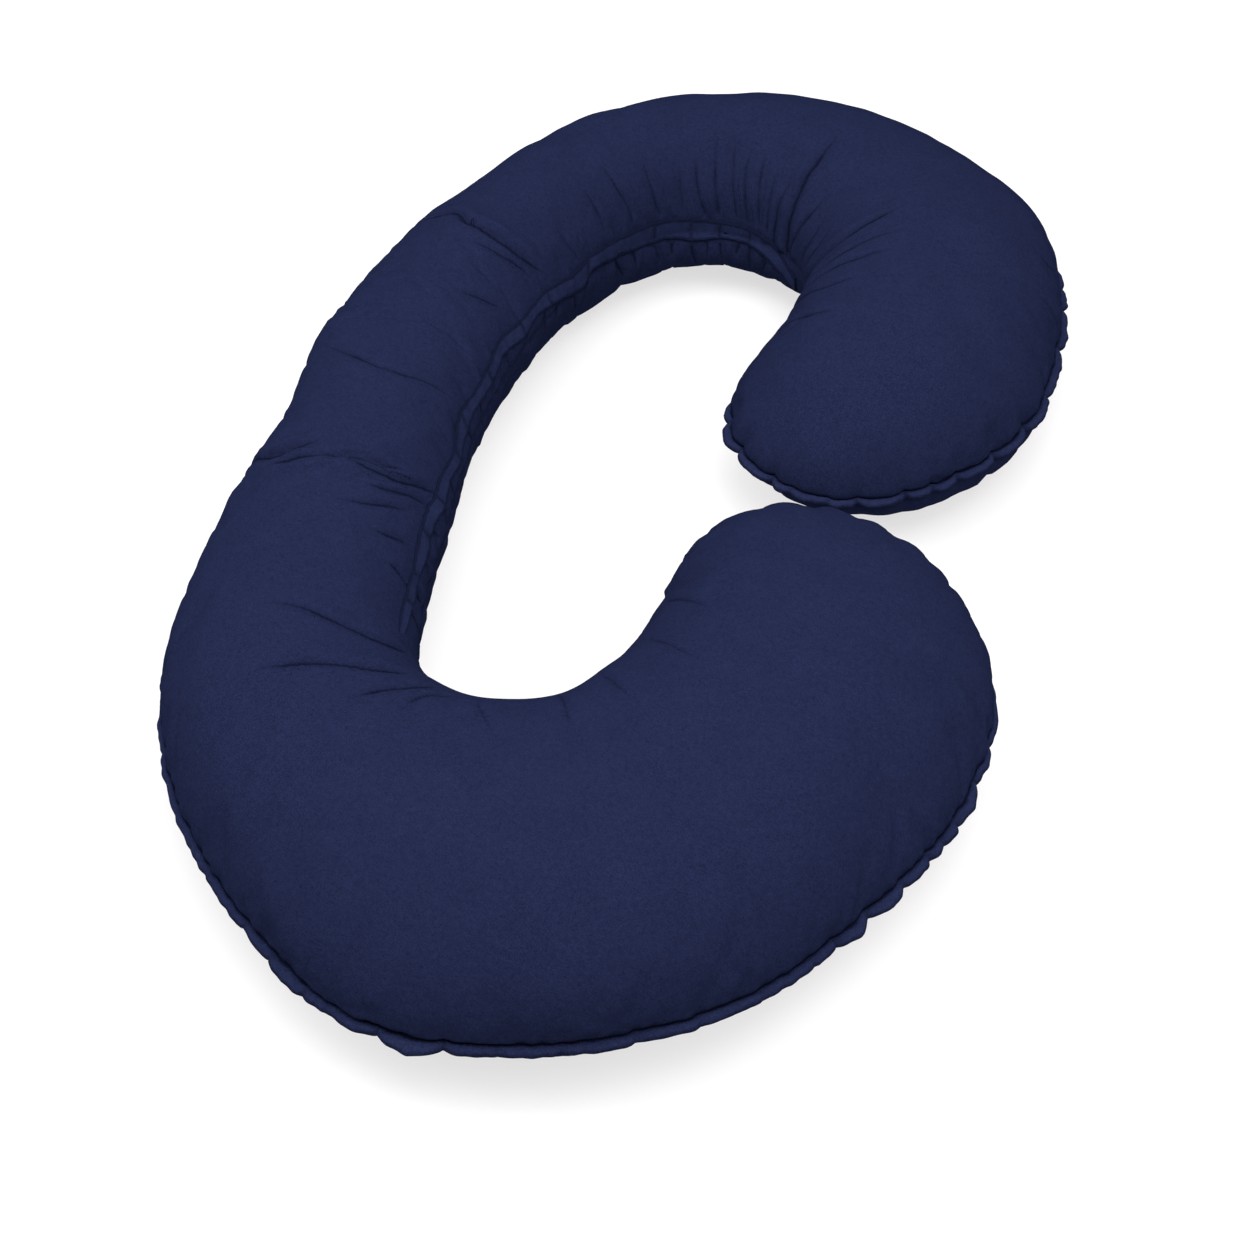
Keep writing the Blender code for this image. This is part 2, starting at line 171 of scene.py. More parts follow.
UPPER_CORNER_CREASES = (
    Crease(0.0061, 0.0075, 0.05, 0.45, 0.45,
           ((2.28, -0.96), (2.04, -0.75), (1.88, -0.53), (1.83, -0.32), (1.83, -0.12))),
    Crease(0.0049, 0.0070, 0.05, 0.45, 0.45,
           ((3.50, -1.00), (3.54, -0.92), (3.58, -0.75), (3.62, -0.50), (3.62, -0.27), (3.67, -0.02))),
    Crease(0.0034, 0.0060, 0.08, 0.45, 0.45,
           ((1.52, -0.94), (1.38, -0.82), (1.21, -0.57), (1.08, -0.33), (1.04, -0.10))),
    Crease(0.0028, 0.0055, 0.10, 0.45, 0.40, ((1.22, -0.90), (1.12, -0.77), (0.75, -0.47), (0.67, -0.20))),
    Crease(0.0020, 0.0055, 0.10, 0.45, 0.40, ((0.45, -0.78), (0.33, -0.60), (0.21, -0.45), (0.04, -0.22))),
    Crease(0.0025, 0.0050, 0.08, 0.45, 0.40, ((3.46, -1.00), (3.25, -0.72), (3.04, -0.47))),
    Crease(0.0028, 0.0055, 0.08, 0.45, 0.45,
           ((1.95, -0.96), (1.71, -0.88), (1.46, -0.53), (1.38, -0.23), (1.38, -0.04))),
    Crease(0.0025, 0.0050, 0.08, 0.45, 0.40, ((3.83, -1.00), (3.88, -0.77), (3.83, -0.50))),
    Crease(0.0020, 0.0050, 0.10, 0.50, 0.40, ((2.70, -0.98), (2.52, -0.75), (2.44, -0.50))),
    Crease(0.0018, 0.0050, 0.10, 0.50, 0.40, ((3.05, -0.98), (2.86, -0.76), (2.76, -0.55))),
    Crease(0.0015, 0.0055, 0.40, 0.20, 0.35, ((1.21, 0.50), (1.23, 0.70), (1.25, 0.90))),
    Crease(0.0015, 0.0055, 0.40, 0.20, 0.35, ((0.71, 0.55), (0.75, 0.93))),
)
FAR_ARM_CREASES = (
    Crease(0.0022, 0.0060, 0.45, 0.10, 0.45,
           ((6.99, -0.16), (6.96, -0.23), (6.88, -0.42), (6.71, -0.70), (6.66, -0.84))),
    Crease(0.0017, 0.0055, 0.45, 0.10, 0.40, ((6.42, -0.33), (6.33, -0.58), (6.17, -0.86))),
    Crease(0.0016, 0.0055, 0.40, 0.15, 0.40, ((7.32, -0.30), (7.29, -0.40), (7.21, -0.60), (7.18, -0.78))),
    Crease(0.0017, 0.0050, 0.45, 0.08, 0.40, ((5.62, -0.40), (5.50, -0.70), (5.33, -0.91))),
    Crease(0.0019, 0.0050, 0.45, 0.08, 0.40, ((5.29, -0.28), (5.25, -0.55), (5.08, -0.90))),
    Crease(0.0017, 0.0050, 0.45, 0.08, 0.40, ((5.00, -0.30), (4.92, -0.58), (4.71, -0.90))),
    Crease(0.0019, 0.0050, 0.45, 0.08, 0.40, ((4.71, -0.36), (4.67, -0.62), (4.46, -0.92))),
    Crease(0.0017, 0.0050, 0.45, 0.08, 0.40, ((4.46, -0.36), (4.38, -0.63), (4.21, -0.92))),
    Crease(0.0016, 0.0050, 0.45, 0.08, 0.40, ((4.16, -0.44), (4.10, -0.70), (4.02, -0.95))),
    Crease(0.0014, 0.0055, 0.45, 0.10, 0.40, ((7.92, -0.40), (7.84, -0.62), (7.72, -0.82))),
    Crease(0.0013, 0.0060, 0.45, 0.10, 0.40, ((5.86, -0.45), (5.80, -0.68), (5.74, -0.88))),
)
CREASES = SPINE_CREASES + LOWER_ARM_CREASES + UPPER_CORNER_CREASES + FAR_ARM_CREASES

# upright folds under the placket: section number and lean
WALL_FOLDS: Table = (
    (3.95, 0.05), (4.38, -0.04), (4.62, 0.10), (5.04, -0.08), (5.30, 0.06), (5.62, -0.05), (5.98, 0.12), (6.32, -0.06),
    (6.70, 0.08), (7.05, -0.10), (7.60, 0.12), (7.92, -0.05), (8.30, 0.14), (8.58, 0.02), (9.02, 0.12), (9.50, -0.04),
    (9.88, 0.16), (10.30, 0.05), (10.70, -0.06), (11.02, 0.12), (11.46, 0.05), (11.84, 0.14), (12.22, -0.04),
    (12.62, 0.12), (13.02, 0.06), (13.38, 0.12),
)

NOTCHES = tuple(Notch(*row) for row in (
    (-0.090, 0.004, 0.0012, 0.016), (-0.034, 0.005, 0.0046, 0.030),
    (0.012, 0.005, 0.0050, 0.036), (0.066, 0.005, 0.0052, 0.036), (0.090, 0.004, 0.0022, 0.020),
    (0.128, 0.004, 0.0020, 0.020), (0.157, 0.006, 0.0042, 0.036), (0.208, 0.005, 0.0046, 0.040),
    (0.238, 0.004, 0.0030, 0.026), (0.270, 0.005, 0.0048, 0.040), (0.323, 0.005, 0.0046, 0.040),
    (0.383, 0.005, 0.0050, 0.038), (0.446, 0.005, 0.0044, 0.034), (0.530, 0.005, 0.0044, 0.040),
    (0.601, 0.005, 0.0034, 0.036), (0.642, 0.005, 0.0030, 0.034), (0.684, 0.005, 0.0030, 0.034),
    (0.747, 0.005, 0.0026, 0.034), (2.528, 0.006, 0.0014, 0.026), (2.600, 0.005, 0.0018, 0.024),
    (2.665, 0.005, 0.0024, 0.024), (2.704, 0.006, 0.0030, 0.034), (2.750, 0.005, 0.0026, 0.030),
    (2.773, 0.004, 0.0018, 0.022), (2.819, 0.006, 0.0036, 0.040), (2.871, 0.006, 0.0040, 0.044),
    (2.913, 0.004, 0.0016, 0.018), (2.960, 0.004, 0.0020, 0.020), (3.018, 0.004, 0.0018, 0.020),
    (3.070, 0.004, 0.0016, 0.018), (3.124, 0.004, 0.0020, 0.020), (3.177, 0.004, 0.0026, 0.022),
    (3.203, 0.005, 0.0034, 0.034), (3.243, 0.005, 0.0038, 0.036), (3.287, 0.005, 0.0040, 0.036),
    (3.325, 0.004, 0.0036, 0.030), (3.345, 0.004, 0.0030, 0.026), (3.370, 0.005, 0.0038, 0.034),
    (3.419, 0.005, 0.0038, 0.038), (3.466, 0.005, 0.0036, 0.036), (3.548, 0.005, 0.0028, 0.030),
    (3.575, 0.005, 0.0030, 0.030), (3.597, 0.005, 0.0036, 0.034), (3.651, 0.005, 0.0044, 0.038),
    (3.688, 0.005, 0.0044, 0.038), (3.745, 0.005, 0.0046, 0.042), (3.797, 0.005, 0.0046, 0.042),
    (3.849, 0.0120, 0.0080, 0.056), (3.902, 0.0075, 0.0050, 0.044), (3.965, 0.005, 0.0044, 0.040),
    (4.005, 0.005, 0.0040, 0.036), (4.050, 0.005, 0.0034, 0.030),
))

# how far the cloth beside the seam stands out past the plain form, by distance from the flange's upper end
SEAM_REACH: Table = (
    (-0.100, 0.0040), (-0.035, 0.0090), (0.010, 0.0050), (0.045, 0.0000), (0.150, 0.0030),
    (0.220, -0.0010), (0.350, -0.0025), (0.420, -0.0030), (0.520, 0.0000), (0.650, 0.0040),
    (0.700, 0.0010), (0.770, -0.0060), (0.840, -0.0050), (0.920, 0.0000), (2.300, 0.0030),
    (2.460, 0.0070), (2.560, 0.0045), (2.650, 0.0035),
    (2.710, 0.0040), (2.750, 0.0060), (2.800, 0.0055), (2.860, 0.0055), (2.905, 0.0030),
    (3.000, 0.0045), (3.100, 0.0050), (3.180, 0.0005), (3.250, 0.0010), (3.310, 0.0070),
    (3.380, 0.0100), (3.440, 0.0100), (3.510, 0.0065), (3.580, 0.0020), (3.640, -0.0040),
    (3.720, -0.0050), (3.800, 0.0010), (3.920, -0.0010), (4.010, 0.0030), (4.070, 0.0050),
    (4.160, 0.0025),
)

# how far the crown stands out along the far side, where it makes the outline
CROWN_REACH: Table = (
    (1.020, 0.0), (1.130, -0.0150), (1.220, -0.0140), (1.290, -0.0070), (1.390, 0.0190),
    (1.470, 0.0160), (1.560, -0.0130), (1.680, -0.0210), (1.800, -0.0150), (1.900, 0.0080),
    (2.040, -0.0110), (2.140, 0.0020), (2.250, -0.0100), (2.360, -0.0010), (2.440, 0.0),
)

# how much wider the ribbon is where it droops in a broad bulge
BROAD_PLACES: Table = (
    (2.700, 0.0), (2.727, 0.0032), (2.752, 0.0005), (2.818, 0.0), (2.846, 0.0052),
    (2.872, 0.0), (3.200, 0.0), (3.223, 0.0022), (3.243, 0.0), (3.266, 0.0020),
    (3.287, 0.0), (3.345, 0.0), (3.394, 0.0018), (3.419, 0.0),
)

# how far the lower panel swells out under the seam of the upper lobe
LOWER_SWELL: Table = ((0.100, 0.0), (0.190, 0.006), (0.300, 0.009), (0.420, 0.009), (0.520, 0.0))

# how far the lower panel swells or falls back along the inner wall, by section number
INNER_SWELL: Table = (
    (2.8, 0.0), (3.6, 0.014), (4.5, 0.018), (5.5, 0.019), (6.8, 0.012), (7.8, 0.0), (8.6, -0.003), (13.2, -0.002),
    (14.0, 0.0),
)

# how far the inner wall stands out past the plain form, by section number
INNER_REACH: Table = ((13.6, 0.0), (14.6, -0.006), (16.8, -0.005), (17.8, 0.0))

# the ribbon's width as a share of its usual one
WIDTH_SHARES: Table = (
    (-0.100, 1.05), (0.750, 1.00), (0.900, 0.86), (2.500, 0.86), (2.660, 0.88), (2.720, 1.0), (3.340, 1.0),
    (3.400, 0.88), (3.450, 0.62), (3.560, 0.55), (3.620, 0.80), (4.150, 0.80),
)

# cross tucks in the placket band, by section number
PLACKET_TUCKS = (4.40, 5.05, 5.62, 6.30, 7.62, 8.46, 9.12, 9.98, 10.72, 11.14, 11.86, 12.36, 12.88, 13.30)

PLACKET_UPPER_LINE: Table = (
    (3.15, 1.14), (3.75, 0.98), (4.58, 0.93), (5.20, 0.92), (6.20, 0.88), (6.85, 0.87), (7.55, 0.84), (7.95, 0.87),
    (8.50, 0.78), (9.10, 0.77), (9.55, 0.70), (10.00, 0.73), (10.40, 0.73), (10.75, 0.67), (10.95, 0.73), (11.20, 0.77),
    (11.65, 0.69), (11.85, 0.70), (12.10, 0.66), (12.40, 0.66), (12.60, 0.68), (12.85, 0.72), (13.20, 0.70),
    (13.65, 0.66), (14.05, 0.64),
)
PLACKET_LOWER_LINE: Table = (
    (3.15, 1.28), (3.70, 1.17), (4.45, 1.07), (5.00, 1.06), (5.50, 1.11), (6.10, 1.05), (6.70, 1.05), (7.55, 0.97),
    (7.75, 1.07), (8.80, 0.86), (9.15, 0.90), (9.60, 0.82), (10.00, 0.86), (10.40, 0.82), (10.90, 0.86), (11.15, 0.89),
    (11.55, 0.81), (11.90, 0.83), (12.20, 0.77), (12.50, 0.81), (12.90, 0.80), (13.20, 0.80), (13.65, 0.74),
    (14.05, 0.69),
)


def looked_up(places: Any, table: Table) -> Any:
    """Return a table's values at places in between its rows."""
    return np.interp(places, *np.array(table).T)


def smooth_rows(rows: Sequence[Sequence[float]], steps: int) -> np.ndarray:
    """Fill a table in between its rows on a Catmull-Rom curve.

    Args:
        rows: the table's rows.
        steps: steps between each two rows.

    Returns:
        The filled table, first and last rows included.
    """
    table = np.array(rows, dtype=float)
    padded = np.vstack([2.0 * table[0] - table[1], table, 2.0 * table[-1] - table[-2]])
    shares = np.arange(steps)[:, None] / steps
    spans = []
    for first in range(len(table) - 1):
        a, b, c, d = padded[first:first + 4]
        cubic = (3.0 * b - a - 3.0 * c + d) * shares ** 3
        square = (2.0 * a - 5.0 * b + 4.0 * c - d) * shares ** 2
        spans.append(0.5 * (2.0 * b + (c - a) * shares + square + cubic))
    return np.vstack(spans + [table[-1:]])


def halved(values: Sequence[float]) -> np.ndarray:
    """Return the values with each gap halved."""
    row = np.array(values, dtype=float)
    result = np.empty(2 * len(row) - 1)
    result[::2] = row
    result[1::2] = (row[:-1] + row[1:]) / 2.0
    return result


def run_lengths(line: np.ndarray) -> np.ndarray:
    """Return each point's distance along a line of points."""
    return np.concatenate([[0.0], np.cumsum(np.linalg.norm(np.diff(line, axis=0), axis=1))])


def unit(vectors: np.ndarray) -> np.ndarray:
    """Return vectors scaled to length one."""
    return vectors / np.maximum(np.linalg.norm(vectors, axis=-1, keepdims=True), 1e-12)


def ripple(along: np.ndarray, shortest: float, longest: float, waves: int, seed: int) -> np.ndarray:
    """Return an uneven wave between about -1 and 1 along a line.

    Args:
        along: distances along the line.
        shortest: shortest wavelength.
        longest: longest wavelength.
        waves: how many waves are added up.
        seed: seed of the wavelengths and phases.
    """
    rng = np.random.default_rng(seed)
    total = np.zeros_like(along)
    for length, phase in zip(rng.uniform(shortest, longest, waves), rng.uniform(0.0, TAU, waves)):
        total += np.sin(TAU * along / length + phase)
    return total / math.sqrt(waves / 2.0) / 1.6


def lumps(points: np.ndarray, shortest: float, longest: float, waves: int, seed: int) -> np.ndarray:
    """Return soft lumps between about -1 and 1 over points in space.

    Args:
        points: the points, in an array whose last axis is x, y, z.
        shortest: shortest wavelength.
        longest: longest wavelength.
        waves: how many plane waves are added up.
        seed: seed of the waves.
    """
    rng = np.random.default_rng(seed)
    total = np.zeros(points.shape[:-1])
    for _ in range(waves):
        direction = unit(rng.normal(size=3))
        total += np.sin(TAU * (points @ direction) / rng.uniform(shortest, longest) + rng.uniform(0.0, TAU))
    return total / math.sqrt(waves / 2.0) / 1.6


def make_mesh_object(
    name: str, points: np.ndarray, faces: Sequence[Sequence[int]], corner_uv: np.ndarray | None = None
) -> bpy.types.Object:
    """Make a smooth-shaded mesh object at the origin.

    Args:
        name: the piece's name.
        points: vertices, one row each.
        faces: vertex numbers of each face.
        corner_uv: one UV pair for each face corner, in order.

    Returns:
        The new object, linked to the scene.
    """
    mesh = bpy.data.meshes.new(name)
    mesh.from_pydata(np.asarray(points, dtype=float).tolist(), [], [list(map(int, face)) for face in faces])
    if corner_uv is not None:
        layer = mesh.uv_layers.new(name="cloth")
        layer.uv.foreach_set("vector", np.asarray(corner_uv, dtype=np.float32).ravel())
    mesh.shade_smooth()
    piece = bpy.data.objects.new(name, mesh)
    bpy.context.scene.collection.objects.link(piece)
    return piece


def store(piece: bpy.types.Object, label: str, values: np.ndarray) -> None:
    """Store one number for each vertex of a piece."""
    layer = piece.data.attributes.new(label, "FLOAT", "POINT")
    layer.data.foreach_set("value", values.reshape(-1).astype(np.float32))


def face_outwards(piece: bpy.types.Object) -> None:
    """Turn a closed mesh's faces outwards if its volume comes out negative."""
    work = bmesh.new()
    work.from_mesh(piece.data)
    if work.calc_volume(signed=True) < 0.0:
        bmesh.ops.reverse_faces(work, faces=work.faces)
        work.to_mesh(piece.data)
        piece.data.shade_smooth()
    work.free()


def tube_piece(name: str, ring: np.ndarray, uv: np.ndarray, painted_shade: np.ndarray) -> bpy.types.Object:
    """Make a closed tube whose ends are capped.

    Args:
        name: the piece's name.
        ring: stations, corners of the cross-section and coordinates.
        uv: cloth coordinates of each corner.
        painted_shade: how deep in shade each corner lies.

    Returns:
        The tube's object.
    """
    stations, count = ring.shape[:2]
    faces = [list(range(count))[::-1]]
    for station in range(stations - 1):
        here = station * count
        for corner in range(count):
            a, b = here + corner, here + (corner + 1) % count
            faces.append([a, b, b + count, a + count])
    faces.append([(stations - 1) * count + corner for corner in range(count)])
    flat_uv = uv.reshape(-1, 2)
    piece = make_mesh_object(name, ring.reshape(-1, 3), faces, np.concatenate([flat_uv[face] for face in faces]))
    # per-vertex painted shade, by which the material darkens the colour
    store(piece, "painted_shade", painted_shade)
    face_outwards(piece)
    return piece


@dataclass
class SeamForm:
    """The seam's closed line round the C, and the tube's cross-section at each of its stations.

    The loop runs along the outer wall from the lower lobe to the upper one, round the upper lobe, along the inner
    wall, and round the lower lobe.
    """

    section_steps: int = 42
    lobe_steps: int = 96
    crown_fullness: float = 2.15
    underside_fullness: float = 1.85
    underside_bulge: float = 1.55
    underside_sag: float = 0.010
    edge_thickness: float = 0.004
    flange_end_turn: float = 14.5 / 18.0
    centre: np.ndarray = field(default_factory=lambda: np.zeros(2))

    def __post_init__(self) -> None:
        """Lay out the stations of the loop."""
        table = smooth_rows(SECTIONS, self.section_steps)
        self.wall_count = len(table)
        inner, outer = table[:, 0:2] - self.centre, table[:, 2:4] - self.centre
        ridge, outer_form, inner_form = (inner + outer) / 2.0, table[:, [4, 5, 7]], table[:, [4, 6, 7]]
        number = np.arange(self.wall_count) / self.section_steps
        upper = self.lobe(outer[0], ridge[0], (outer_form[0], inner_form[0]), UPPER_TIP, 1.0)
        lower = self.lobe(outer[-1], ridge[-1], (inner_form[-1], outer_form[-1]), LOWER_TIP, -1.0)
        turns = self.lobe_steps - 1
        self.rim = np.vstack([outer[::-1], upper[0], inner, lower[0]])
        self.ridge = np.vstack([ridge[::-1], np.repeat(ridge[:1], turns, 0), ridge, np.repeat(ridge[-1:], turns, 0)])
        self.form = np.vstack([outer_form[::-1], upper[1], inner_form, lower[1]])
        self.section = np.concatenate([number[::-1], np.full(turns, number[0]), number, np.full(turns, number[-1])])
        self.inner_start = self.wall_count + turns
        self.count = len(self.rim)
        ahead, behind = np.roll(self.rim, -1, axis=0), np.roll(self.rim, 1, axis=0)
        along = unit(ahead - behind)
        self.outward = np.column_stack([-along[:, 1], along[:, 0]])
        steps = np.linalg.norm(ahead - self.rim, axis=1)
        self.length = float(steps.sum())
        self.along = np.concatenate([[0.0], np.cumsum(steps)[:-1]])

    def lobe(
        self, outer: np.ndarray, ridge: np.ndarray, forms: tuple[np.ndarray, np.ndarray], tip: Tip, turn: float
    ) -> tuple[np.ndarray, np.ndarray]:
        """Return the rim points and forms of the stations round a lobe's end.

        Args:
            outer: rim point of the outer wall where the lobe begins.
            ridge: middle of the tube there.
            forms: crest, seam and edge at the wall it starts from, and at the wall it ends on.
            tip: the lobe's tip.
            turn: 1 from the outer wall to the inner one, -1 the other way.
        """
        angle = math.pi * np.arange(1, self.lobe_steps)[:, None] / self.lobe_steps
        power = 2.0 / tip.fullness
        across = turn * np.sign(np.cos(angle)) * np.abs(np.cos(angle)) ** power
        reach = np.array([tip.x, tip.y]) - self.centre - ridge
        rim = ridge + (outer - ridge) * across + reach * np.sin(angle) ** power
        share, first = np.sin(angle), (1.0 + np.cos(angle)) / 2.0
        form = forms[0] * first + forms[1] * (1.0 - first)
        return rim, form * (1.0 - share) + np.array([tip.crest, tip.seam, tip.edge]) * share

    def plan_centre(self) -> np.ndarray:
        """Return the place in the table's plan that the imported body's frame has at its origin."""
        low, high = (np.array(corner)[:2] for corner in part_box("pillow_body"))
        return (self.rim.min(axis=0) + self.rim.max(axis=0) - low - high) / 2.0

    def crown_row(self, degrees: float) -> np.ndarray:
        """Return the points of every station at an angle of the crown, 90 at the crest and 0 at the seam."""
        angle = math.radians(degrees)
        out = math.cos(angle) ** (2.0 / self.crown_fullness) if degrees < 90.0 else 0.0
        crest, seam, edge = self.form.T
        foot = seam + self.edge_thickness / 2.0
        height = foot + (crest - foot) * math.sin(angle) ** (2.0 / edge)
        return np.column_stack([self.ridge + (self.rim - self.ridge) * out, height])

    def underside_row(self, degrees: float) -> np.ndarray:
        """Return the points of every station at an angle of the underside, 0 at the seam."""
        angle = math.radians(degrees)
        out = math.cos(angle) ** (2.0 / self.underside_fullness)
        top = self.form[:, 1] - self.edge_thickness / 2.0
        height = top - (top + self.underside_sag) * math.sin(angle) ** (2.0 / self.underside_bulge)
        return np.column_stack([self.ridge + (self.rim - self.ridge) * out, height.clip(0.0)])

    def base_row(self, share: float) -> np.ndarray:
        """Return the points on the floor, from the line of contact at share 0 to under the ridge at share 1."""
        top = self.form[:, 1] - self.edge_thickness / 2.0
        angle = np.arcsin((top / (top + self.underside_sag)) ** (self.underside_bulge / 2.0))
        out = np.cos(angle) ** (2.0 / self.underside_fullness) * (1.0 - share)
        return np.column_stack([self.ridge + (self.rim - self.ridge) * out[:, None], np.zeros(self.count)])

    def station(self, section: float, wall: Wall) -> float:
        """Return the loop's station, as a fraction, at a section number on a wall."""
        if wall is Wall.OUTER:
            return self.wall_count - 1 - section * self.section_steps
        return self.inner_start + section * self.section_steps

    def flange_origin(self) -> float:
        """Return the flange's upper end as a distance along the loop."""
        start = self.wall_count - 1 + self.flange_end_turn * self.lobe_steps
        return np.interp(start, np.arange(self.count), self.along)

    def flange_along(self) -> np.ndarray:
        """Return each station's distance from the flange's upper end, backwards round the loop."""
        return (self.flange_origin() - self.along) % self.length

    def loop_along(self, from_flange_end: float) -> float:
        """Return the distance along the loop of a distance from the flange's upper end."""
        return (self.flange_origin() - from_flange_end) % self.length


@dataclass
class PillowBody:
    """The stuffed C: its crowned top panel and its underside, gathered into one seam."""

    form: SeamForm
    name: str = "stuffed_body"
    crown_degrees: tuple[float, ...] = (90, 82, 74.5, 67, 59.5, 52, 45, 38, 31.5, 25.5, 20, 15, 11, 7.5, 4.5, 2, 0)
    underside_degrees: tuple[float, ...] = (0, 4, 10, 18, 28, 39)
    base_shares: tuple[float, ...] = (0.0, 0.5, 1.0)
    pressure: float = 4.0
    fabric_surplus: float = 0.014
    frames: int = 20
    travel_cap: float = 0.012
    swell_kept: float = 0.45
    seam_inset: float = 0.0016
    inset_spread: float = 0.0042
    outset_spread: float = 0.075
    inner_spread: float = 0.120
    crown_reach_at: float = 0.100
    crown_spread: float = 0.060
    # painted shade: low on the inner wall, along the seam's root and in the creases
    wall_shade: float = 0.10
    seam_shade: float = 0.9
    seam_shade_reach: float = 0.0017
    scallop_height: float = 0.80
    scallop_power: float = 0.65
    scallop_spread: float = 0.015
    lobe_scallop_spread: float = 0.040
    scallop_share: float = 0.55
    lobe_scallop_share: float = 1.6
    short_reach: float = 0.50
    long_reach: float = 1.8
    upper_reach: float = 1.35
    lower_swell_reach: float = 0.085
    pucker_depth: float = 0.42
    pucker_spread: float = 0.24
    ripple_height: float = 0.0007
    ripple_reach: float = 0.026
    gather_height: float = 0.0030
    crease_width: float = 0.78
    full_crease: float = 0.0036
    # painted shade in the creases, and the reach of the painted dark line along them
    crease_shade: float = 0.28
    line_reach: float = 0.010
    lump_height: float = 0.0016
    past_seam_reach: float = 0.08
    edge_sunk: float = 0.0012
    base_rows: int = 6
    gather_reach: float = 0.075
    gather_ease: float = 0.12
    seam_ease: float = 0.05
    usual_span: float = 0.036
    fabric_mass: float = 0.3
    stretch_stiffness: float = 22.0
    shear_stiffness: float = 12.0
    bending_stiffness: float = 0.35
    contact_degrees: float = 51.0
    seed: int = 11

    def __post_init__(self) -> None:
        """Name the fine grid's rows."""
        self.crown = halved(self.crown_degrees)
        self.rim_row = len(self.crown) - 1
        self.under_row = self.rim_row + 2
        self.rows = 2 * (len(self.crown_degrees) + len(self.underside_degrees) + len(self.base_shares)) - 1
        contact = self.contact_degrees
        self.across = np.concatenate([
            1.0 - self.crown / 90.0, [1.0], 1.0 + halved(self.underside_degrees) / 90.0,
            [1.0 + (self.underside_degrees[-1] + contact) / 180.0],
            1.0 + contact / 90.0 + halved(self.base_shares) * (1.0 - contact / 90.0),
        ])

    def rest_grid(self) -> np.ndarray:
        """Return the unwrinkled surface: stations, rows and coordinates."""
        rows = [self.form.crown_row(angle) for angle in self.crown]
        under = [self.form.underside_row(angle) for angle in halved(self.underside_degrees)]
        base = [self.form.base_row(share) for share in halved(self.base_shares)]
        between = (under[-1] + base[0]) / 2.0
        rows += [(rows[-1] + under[0]) / 2.0] + under + [between] + base
        return np.stack(rows, axis=1)

    def shared_index(self, stations: int, rows: int, wall_count: int, inner_start: int) -> np.ndarray:
        """Return the vertex number of each grid place, with the ridge and the middle of the base shared.

        Args:
            stations: stations of the grid.
            rows: rows of the grid.
            wall_count: stations of a wall.
            inner_start: first station of the inner wall.
        """
        index = np.arange(stations * rows).reshape(stations, rows)
        for row in (0, rows - 1):
            index[wall_count:inner_start, row] = index[wall_count - 1, row]
            index[inner_start:inner_start + wall_count, row] = index[wall_count - 1::-1, row][:wall_count]
            index[inner_start + wall_count:, row] = index[0, row]
        return index

    def grid_mesh(self, name: str, grid: np.ndarray, coarse: int, uv: np.ndarray | None) -> bpy.types.Object:
        """Make a closed mesh object from a grid.

        Args:
            name: the object's name.
            grid: the surface's points.
            coarse: 2 for every second station and row, 1 for all.
            uv: cloth coordinates of the grid places, or None.

        Returns:
            The object, whose vertex order is the used grid places in order.
        """
        points = grid[::coarse, ::coarse]
        stations, rows = points.shape[:2]
        wall_count = (self.form.wall_count - 1) // coarse + 1
        index = self.shared_index(stations, rows, wall_count, self.form.inner_start // coarse)
        used, numbers = np.unique(index, return_inverse=True)
        numbers = numbers.reshape(index.shape)
        after = np.roll(numbers, -1, axis=0)
        corners = np.stack([numbers[:, :-1], after[:, :-1], after[:, 1:], numbers[:, 1:]], axis=-1).reshape(-1, 4)
        faces = []
        corner_uv = []
        places = None
        if uv is not None:
            places = np.stack([uv[:, :-1], np.roll(uv, -1, 0)[:, :-1], np.roll(uv, -1, 0)[:, 1:], uv[:, 1:]], axis=2)
            places = places.reshape(-1, 4, 2)
        for number, (a, b, c, d) in enumerate(corners):
            if a == b:
                keep = (0, 2, 3)
            elif c == d:
                keep = (0, 1, 2)
            else:
                keep = (0, 1, 2, 3)
            face = corners[number][list(keep)]
            faces.append(face)
            if places is not None:
                corner_uv.append(places[number][list(keep)])
        flat_uv = np.concatenate(corner_uv) if corner_uv else None
        self.last_index = numbers
        self.last_used = used
        return make_mesh_object(name, points.reshape(-1, 3)[used], faces, flat_uv)

    def relaxed(self, grid: np.ndarray) -> np.ndarray:
        """Let the cloth swell and wrinkle between its seams, and return the shifted grid.

        The panels are cut a little too long for the seam they are gathered into. The coarse grid is simulated, held
        at the seam and on the floor, and its shift is carried over to the fine grid.

        Args:
            grid: the fine grid at rest.
        """
        shift = self.simulated(grid) - grid[::2, ::2]
        calm = shift.copy()
        for _ in range(40):
            calm = (np.roll(calm, 1, axis=0) + 2.0 * calm + np.roll(calm, -1, axis=0)) / 4.0
            middle = (calm[:, :-2] + 2.0 * calm[:, 1:-1] + calm[:, 2:]) / 4.0
            calm[:, 1:-1] = middle
        shift -= calm * (1.0 - self.swell_kept)
        travel = np.linalg.norm(shift, axis=-1, keepdims=True)
        LOG.info("cloth: largest travel %.1f mm, mean %.2f mm", travel.max() * 1000, travel.mean() * 1000)
        shift *= np.minimum(1.0, self.travel_cap / np.maximum(travel, 1e-9))
        fine = np.zeros_like(grid)
        fine[::2, ::2] = shift
        before, after = np.roll(shift, 1, axis=0), np.roll(shift, -1, axis=0)
        fine[1::2, ::2] = (9.0 * (shift + after) - before - np.roll(shift, -2, axis=0)) / 16.0
        rows = fine[:, ::2]
        padded = np.concatenate([rows[:, :1], rows, rows[:, -1:]], axis=1)
        fine[:, 1::2] = (9.0 * (padded[:, 1:-2] + padded[:, 2:-1]) - padded[:, :-3] - padded[:, 3:]) / 16.0
        return grid + fine

